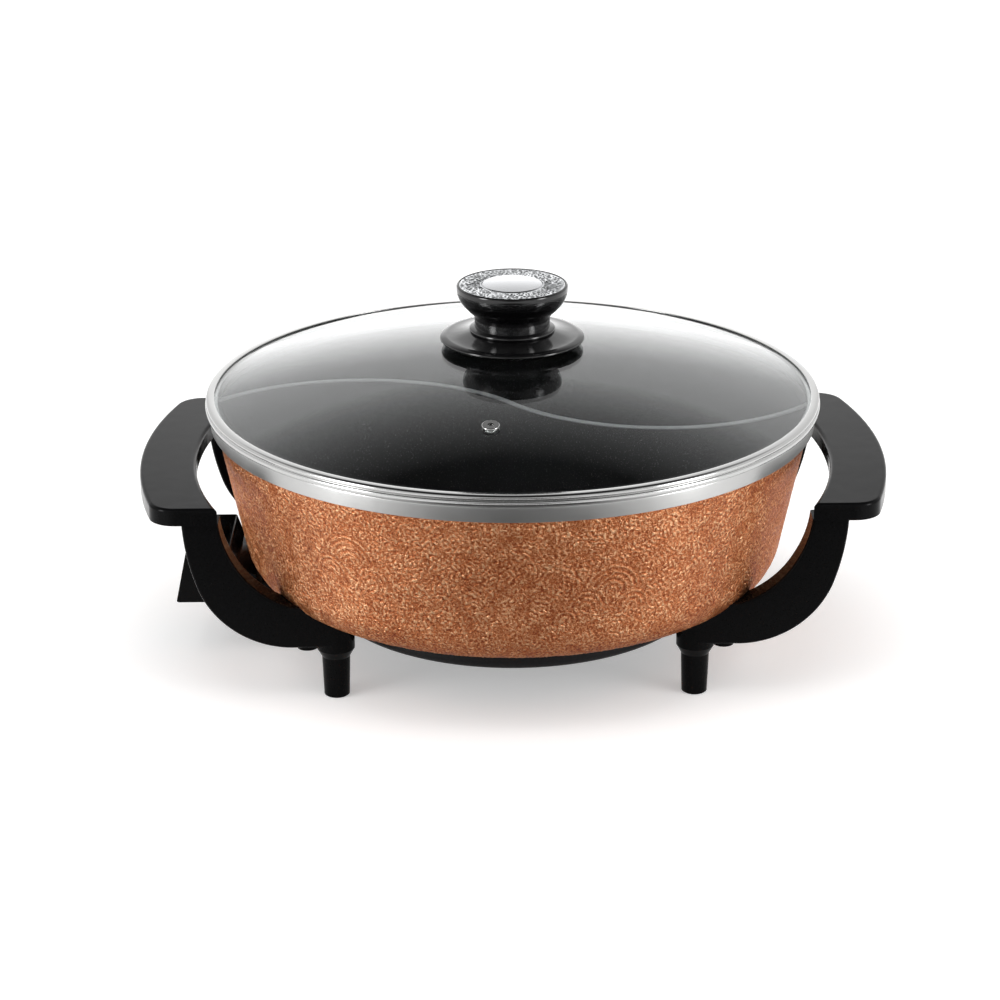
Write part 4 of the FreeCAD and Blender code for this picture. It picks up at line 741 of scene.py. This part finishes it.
@dataclass
class Knob:
    """The knob: flange and neck, bowl, bright ring and plain disc."""

    flange_r: float = 42.2
    seat_z: float = 186.4
    flange_low: float = 187.5
    flange_top: Point = (40.6, 190.9)
    neck_foot: Point = (24.4, 193.2)
    bead: float = 2.4
    neck_r: float = 22.0
    split_z: float = 196.2
    bowl_r: float = 32.4
    bowl_low: float = 203.0
    bowl_edge: float = 218.0
    top: float = 221.1
    ring_r: float = 31.0
    ring_h: float = 1.8
    disc_r: float = 18.0
    disc_h: float = 2.6
    bore_r: float = 3.2
    counterbore: Point = (8.4, 189.0)
    swell_bulge: float = 0.95
    lip_r: float = 1.3

    def build(self) -> None:
        """Makes the four pieces."""
        self.base()
        self.bowl()
        self.ring()
        self.disc()

    def base(self) -> None:
        """Makes the flange that sweeps up to a small bead under the neck."""
        slope_start = (self.flange_top[0] - 1.2, self.flange_top[1])
        sweep = []
        for i in range(13):
            t = i / 12
            r = slope_start[0] + (self.neck_foot[0] - slope_start[0]) * t
            sweep.append((r, slope_start[1] + (self.neck_foot[1] - slope_start[1]) * t ** 2.1))
        bead_centre = (self.neck_foot[0] - 0.4, self.neck_foot[1] + self.bead / 2)
        bead = arc(bead_centre, self.bead / 2, -70, 80, 8)
        corners = rounded([(self.counterbore[0], self.seat_z, 0), (self.flange_r - 1.6, self.flange_low, 0.8),
                           (self.flange_r, self.flange_low + 1.0, 1.0), (self.flange_r, self.flange_top[1] - 1.0, 1.2),
                           (*sweep[0], 0)])
        inside = [(self.neck_r, self.split_z), (self.bore_r, self.split_z), (self.bore_r, self.counterbore[1]),
                  self.counterbore]
        profile = corners + sweep[1:] + bead + inside
        piece = turned_mesh("knob_flange", profile, (POLISHED,), 160, closed=True)
        place(piece, Body.LID, "black_phenolic", "knob_base")

    def bowl(self) -> None:
        """Makes the bowl, which swells from the neck to a rounded lip."""
        rise, reach = self.bowl_edge - self.bowl_low, self.bowl_r - self.neck_r
        foot = [(self.neck_r, self.bowl_low - 2.4), (self.neck_r + 0.15, self.bowl_low - 1.0)]
        swell = [(self.neck_r + reach * (t + self.swell_bulge * t * (1 - t)), self.bowl_low + rise * t)
                 for t in np.linspace(0.06, 1, 16)]
        lip = arc((self.bowl_r - self.lip_r, self.top - self.lip_r), self.lip_r, 0, 90, 8)
        recess = self.top - self.ring_h
        profile = [(0.0, self.split_z), (self.neck_r, self.split_z)] + foot + swell + lip
        profile += [(self.ring_r + 0.1, self.top - 0.3), (self.ring_r + 0.1, recess), (0.0, recess)]
        piece = turned_mesh("knob_bowl", profile, (POLISHED,), 160)
        place(piece, Body.LID, "black_phenolic", "knob_grip")

    def ring(self) -> None:
        """Makes the bright ring, with a cast texture of its own."""
        low, step = self.top - self.ring_h, 0.45
        columns = int(2 * math.pi * self.ring_r / step)
        radii = np.arange(self.disc_r + 0.1, self.ring_r, step)
        bumps = step_between(0.0, 1.0, band_noise(len(radii), columns, step, 2.6, 31))
        edge = np.minimum(step_between(0, 1.2, radii - radii[0]), step_between(0, 1.2, radii[-1] - radii))
        height = self.top - 0.35 + 0.4 * bumps * edge[:, None]
        turns = np.linspace(0, 2 * math.pi, columns, endpoint=False)
        top = np.stack((radii[:, None] * np.cos(turns), radii[:, None] * np.sin(turns), height), axis=2)
        bottom = top[[-1, 0]].copy()
        bottom[..., 2] = low
        points = np.concatenate((top, bottom)) * MM
        rows = len(points)
        index = np.arange(rows * columns).reshape(rows, columns)
        after = np.roll(index, -1, axis=1)
        upper, upper_after = np.roll(index, -1, axis=0), np.roll(after, -1, axis=0)
        quads = np.stack((index, upper, upper_after, after), axis=2).reshape(-1, 4)
        piece = mesh_object("bright_ring", points.reshape(-1, 3).tolist(), quads.tolist(), (SILVER,), sharp=50.0)
        place(piece, Body.LID, "embossed_cap", "knob_cap_ring")

    def disc(self) -> None:
        """Makes the plain disc, gently domed, with a rounded edge."""
        low, high = self.top - self.ring_h, self.top - self.ring_h + self.disc_h
        dome = [(r, high - 0.8 * (r / self.disc_r) ** 2) for r in np.linspace(self.disc_r - 0.8, 0, 12)]
        profile = [(0.0, low), (self.disc_r, low), (self.disc_r, high - 1.4)] + dome
        piece = turned_mesh("plain_disc", profile, (CAP,), 128)
        place(piece, Body.LID, "polished_cap", "knob_medallion")


@dataclass
class CarriedNodes:
    """The nodes whose own shape is right and that only need a finish."""

    divider_top: float = 146.5

    def build(self) -> None:
        """Gives each node its finish."""
        edged = EdgedNonStick("edged_nonstick", COATING.colour, COATING.roughness, specular=COATING.specular,
                              edge_z_mm=self.divider_top)
        dress("divider_wall", edged)
        limbs = [f"{side}_{end}_{kind}" for side in ("left", "right") for end in ("front", "rear")
                 for kind in ("arm", "foot")]
        finishes = {
            MOULDED: ["left_grip", "right_grip", "terminal_guard", "control_base", "control_cover", "contact_nose",
                      "thermostat_switch", "cord_inlet", "dial_knob"] + limbs,
            SHEATH: ["heating_element"],
            ZINC: ["terminal_pins", "contact_sleeves", "temperature_probe", "probe_tube", "base_screws", "guard_screws",
                   "arm_screws", "grip_screws", "control_screws", "knob_screw", "knob_washer"],
            SHEET: ["base_cover"],
            RUBBER: ["foot_pads"],
            STAINLESS: ["vent_eyelet"],
            SILICONE: ["rim_seal", "knob_seal"],
            BRASS: ["knob_insert", "dial_shaft"],
            LENS: ["indicator_lens"],
        }
        for finish, nodes in finishes.items():
            for node in nodes:
                dress(node, finish)


@dataclass
class Studio:
    """The floor, the light and the camera at the photograph's angle."""

    eye: tuple[float, float, float] = (-27.75, -1509.7, 671.3)
    down: float = 21.17
    turn: float = 0.766
    roll: float = 0.234
    lens: float = 97.54
    floor_size: float = 40.0

    def build(self) -> None:
        """Makes the whole studio."""
        self.camera()
        self.floor()
        self.world()
        self.lamps()
        self.cards()
        bpy.context.scene.view_settings.view_transform = "Standard"

    def camera(self) -> None:
        """Makes the camera from its place and its three turns."""
        pitch, yaw, roll = (math.radians(v) for v in (self.down, self.turn, self.roll))
        forward = Vector((math.sin(yaw) * math.cos(pitch), math.cos(yaw) * math.cos(pitch), -math.sin(pitch)))
        right = Vector((math.cos(yaw), -math.sin(yaw), 0))
        under = forward.cross(right)
        right, under = (math.cos(roll) * right + math.sin(roll) * under,
                        -math.sin(roll) * right + math.cos(roll) * under)
        data = bpy.data.cameras.new("camera")
        data.lens = self.lens
        data.sensor_width = 36.0
        data.clip_end = 100.0
        made = bpy.data.objects.new("camera", data)
        turned = Matrix((right, -under, -forward)).transposed()
        made.matrix_world = Matrix.Translation(Vector(self.eye) * MM) @ turned.to_4x4()
        bpy.context.scene.collection.objects.link(made)
        bpy.context.scene.camera = made

    def floor(self) -> None:
        """Makes a floor that is white to the eye and keeps the shadow."""
        size = self.floor_size / 2
        mesh = bpy.data.meshes.new("floor")
        mesh.from_pydata([(-size, -size, 0), (size, -size, 0), (size, size, 0), (-size, size, 0)], [], [(0, 1, 2, 3)])
        material = bpy.data.materials.new("white_paper")
        material.use_nodes = True
        tree = material.node_tree
        tree.nodes.clear()
        paper = add_node(tree, "ShaderNodeBsdfDiffuse", None, {"Color": linear("#EBEBEB")})
        glow = add_node(tree, "ShaderNodeEmission", None, {"Color": (1, 1, 1, 1)})
        seen = self.seen(tree)
        place = add_node(tree, "ShaderNodeTexCoord")
        far = add_node(tree, "ShaderNodeVectorMath", {"operation": "LENGTH"}, {0: (place, "Object")})
        level = add_node(tree, "ShaderNodeMapRange", None,
                         {"Value": (far, "Value"), "From Min": 0.6, "From Max": 2.4, "To Min": 0.35, "To Max": 0.62})
        faded = add_node(tree, "ShaderNodeMath", {"operation": "MULTIPLY"}, {0: (seen, 0), 1: (level, "Result")})
        tree.links.new(faded.outputs[0], glow.inputs["Strength"])
        both = add_node(tree, "ShaderNodeAddShader", None, {0: (paper, 0), 1: (glow, 0)})
        add_node(tree, "ShaderNodeOutputMaterial", None, {"Surface": (both, 0)})
        mesh.materials.append(material)
        made = bpy.data.objects.new("floor", mesh)
        bpy.context.scene.collection.objects.link(made)

    def seen(self, tree: Any) -> Any:
        """A value that is 1 for rays from the eye, and for those that glass or metal pass on.

        Args:
            tree: The node tree.

        Returns:
            The node that gives the value.
        """
        path = add_node(tree, "ShaderNodeLightPath")
        both = add_node(tree, "ShaderNodeMath", {"operation": "MAXIMUM"},
                        {0: (path, "Is Camera Ray"), 1: (path, "Is Transmission Ray")})
        return add_node(tree, "ShaderNodeMath", {"operation": "MAXIMUM"}, {0: (both, 0), 1: (path, "Is Glossy Ray")})

    def world(self) -> None:
        """Makes a world that is white to the eye and a plain grey to the object."""
        world = bpy.data.worlds.new("studio")
        bpy.context.scene.world = world
        world.use_nodes = True
        tree = world.node_tree
        tree.nodes.clear()
        seen = self.seen(tree)
        level = add_node(tree, "ShaderNodeMapRange", None, {"Value": (seen, 0), "To Min": 0.55, "To Max": 1.0})
        back = add_node(tree, "ShaderNodeBackground", None, {"Color": (1, 1, 1, 1), "Strength": (level, "Result")})
        add_node(tree, "ShaderNodeOutputWorld", None, {"Surface": (back, 0)})

    def lamps(self) -> None:
        """Hangs a broad soft box above and a tall one on each side; gloss sees the cards in their place.

        Each row gives a lamp's name, its place, its size and its power.
        """
        for name, spot, size, power in (
            ("top_box", (0.0, -0.3, 2.2), (2.2, 1.6), 22.0),
            ("left_box", (-2.0, -1.05, 1.3), (1.25, 2.4), 26.0),
            ("right_box", (2.0, -1.05, 1.3), (1.25, 2.4), 23.0),
        ):
            data = bpy.data.lights.new(name, "AREA")
            data.shape = "RECTANGLE"
            data.size, data.size_y = size
            data.energy = power
            made = bpy.data.objects.new(name, data)
            made.location = spot
            made.rotation_euler = (Vector((0, 0, 0.1)) - Vector(spot)).to_track_quat("-Z", "Y").to_euler()
            made.visible_glossy = False
            bpy.context.scene.collection.objects.link(made)

    def cards(self) -> None:
        """Hangs cards that only gloss shows: dark above and in front, bright behind and at the sides.

        Each row gives a card's name, its glow, where its fade starts, its centre, its half sizes and whether it
        stands upright.
        """
        for name, level, inner, centre, half, upright in (
            ("roof_card", 0.03, 0.4, (0.0, 0.0, 1.3), (1.9, 1.9), False),
            ("front_card", 0.1, 0.5, (0.0, -2.6, 0.6), (1.3, 1.1), True),
            ("table_card", 0.1, 0.45, (0.0, -0.5, 0.001), (0.42, 0.48), False),
            ("back_card", 2.6, 0.1, (0.0, 3.0, 0.3), (1.3, 1.2), True),
            ("left_card", 20.0, 0.0, (-2.0, -1.05, 0.75), (0.5, 1.0), True),
            ("right_card", 18.0, 0.0, (2.0, -1.05, 0.75), (0.5, 1.0), True),
        ):
            mesh = bpy.data.meshes.new(name)
            mesh.from_pydata([(-1, -1, 0), (1, -1, 0), (1, 1, 0), (-1, 1, 0)], [], [(0, 1, 2, 3)])
            mesh.materials.append(self.card_paint(name, level, inner))
            made = bpy.data.objects.new(name, mesh)
            made.location = centre
            made.scale = (*half, 1)
            if upright:
                made.rotation_euler = (math.pi / 2, 0, math.atan2(-centre[0], centre[1]))
            made.visible_camera = made.visible_diffuse = made.visible_shadow = False
            made.visible_transmission = name == "roof_card"
            bpy.context.scene.collection.objects.link(made)

    def card_paint(self, name: str, level: float, inner: float) -> Any:
        """Makes a card's glow, which fades to what lies behind it at its edge.

        Args:
            name: The card's name.
            level: The glow in its middle.
            inner: Where the fade starts, as a share of the card's half width.

        Returns:
            The material.
        """
        made = bpy.data.materials.new(name)
        made.use_nodes = True
        tree = made.node_tree
        tree.nodes.clear()
        place = add_node(tree, "ShaderNodeTexCoord")
        far = add_node(tree, "ShaderNodeVectorMath", {"operation": "LENGTH"}, {0: (place, "Object")})
        fade = add_node(tree, "ShaderNodeMapRange", None,
                        {"Value": (far, "Value"), "From Min": inner, "From Max": 1.0})
        glow = add_node(tree, "ShaderNodeEmission", None, {"Color": (1, 1, 1, 1), "Strength": level})
        clear = add_node(tree, "ShaderNodeBsdfTransparent")
        both = add_node(tree, "ShaderNodeMixShader", None, {0: (fade, "Result"), 1: (glow, 0), 2: (clear, 0)})
        add_node(tree, "ShaderNodeOutputMaterial", None, {"Surface": (both, 0)})
        return made


def main() -> None:
    """Builds the hot pot piece by piece, then the studio round it."""
    logging.basicConfig(level=logging.INFO, format="%(message)s")
    for part in (PotCasting(), Lid(), Knob(), CarriedNodes(), Studio()):
        LOG.info("building %s", type(part).__name__)
        part.build()


if __name__ == "__main__":
    main()
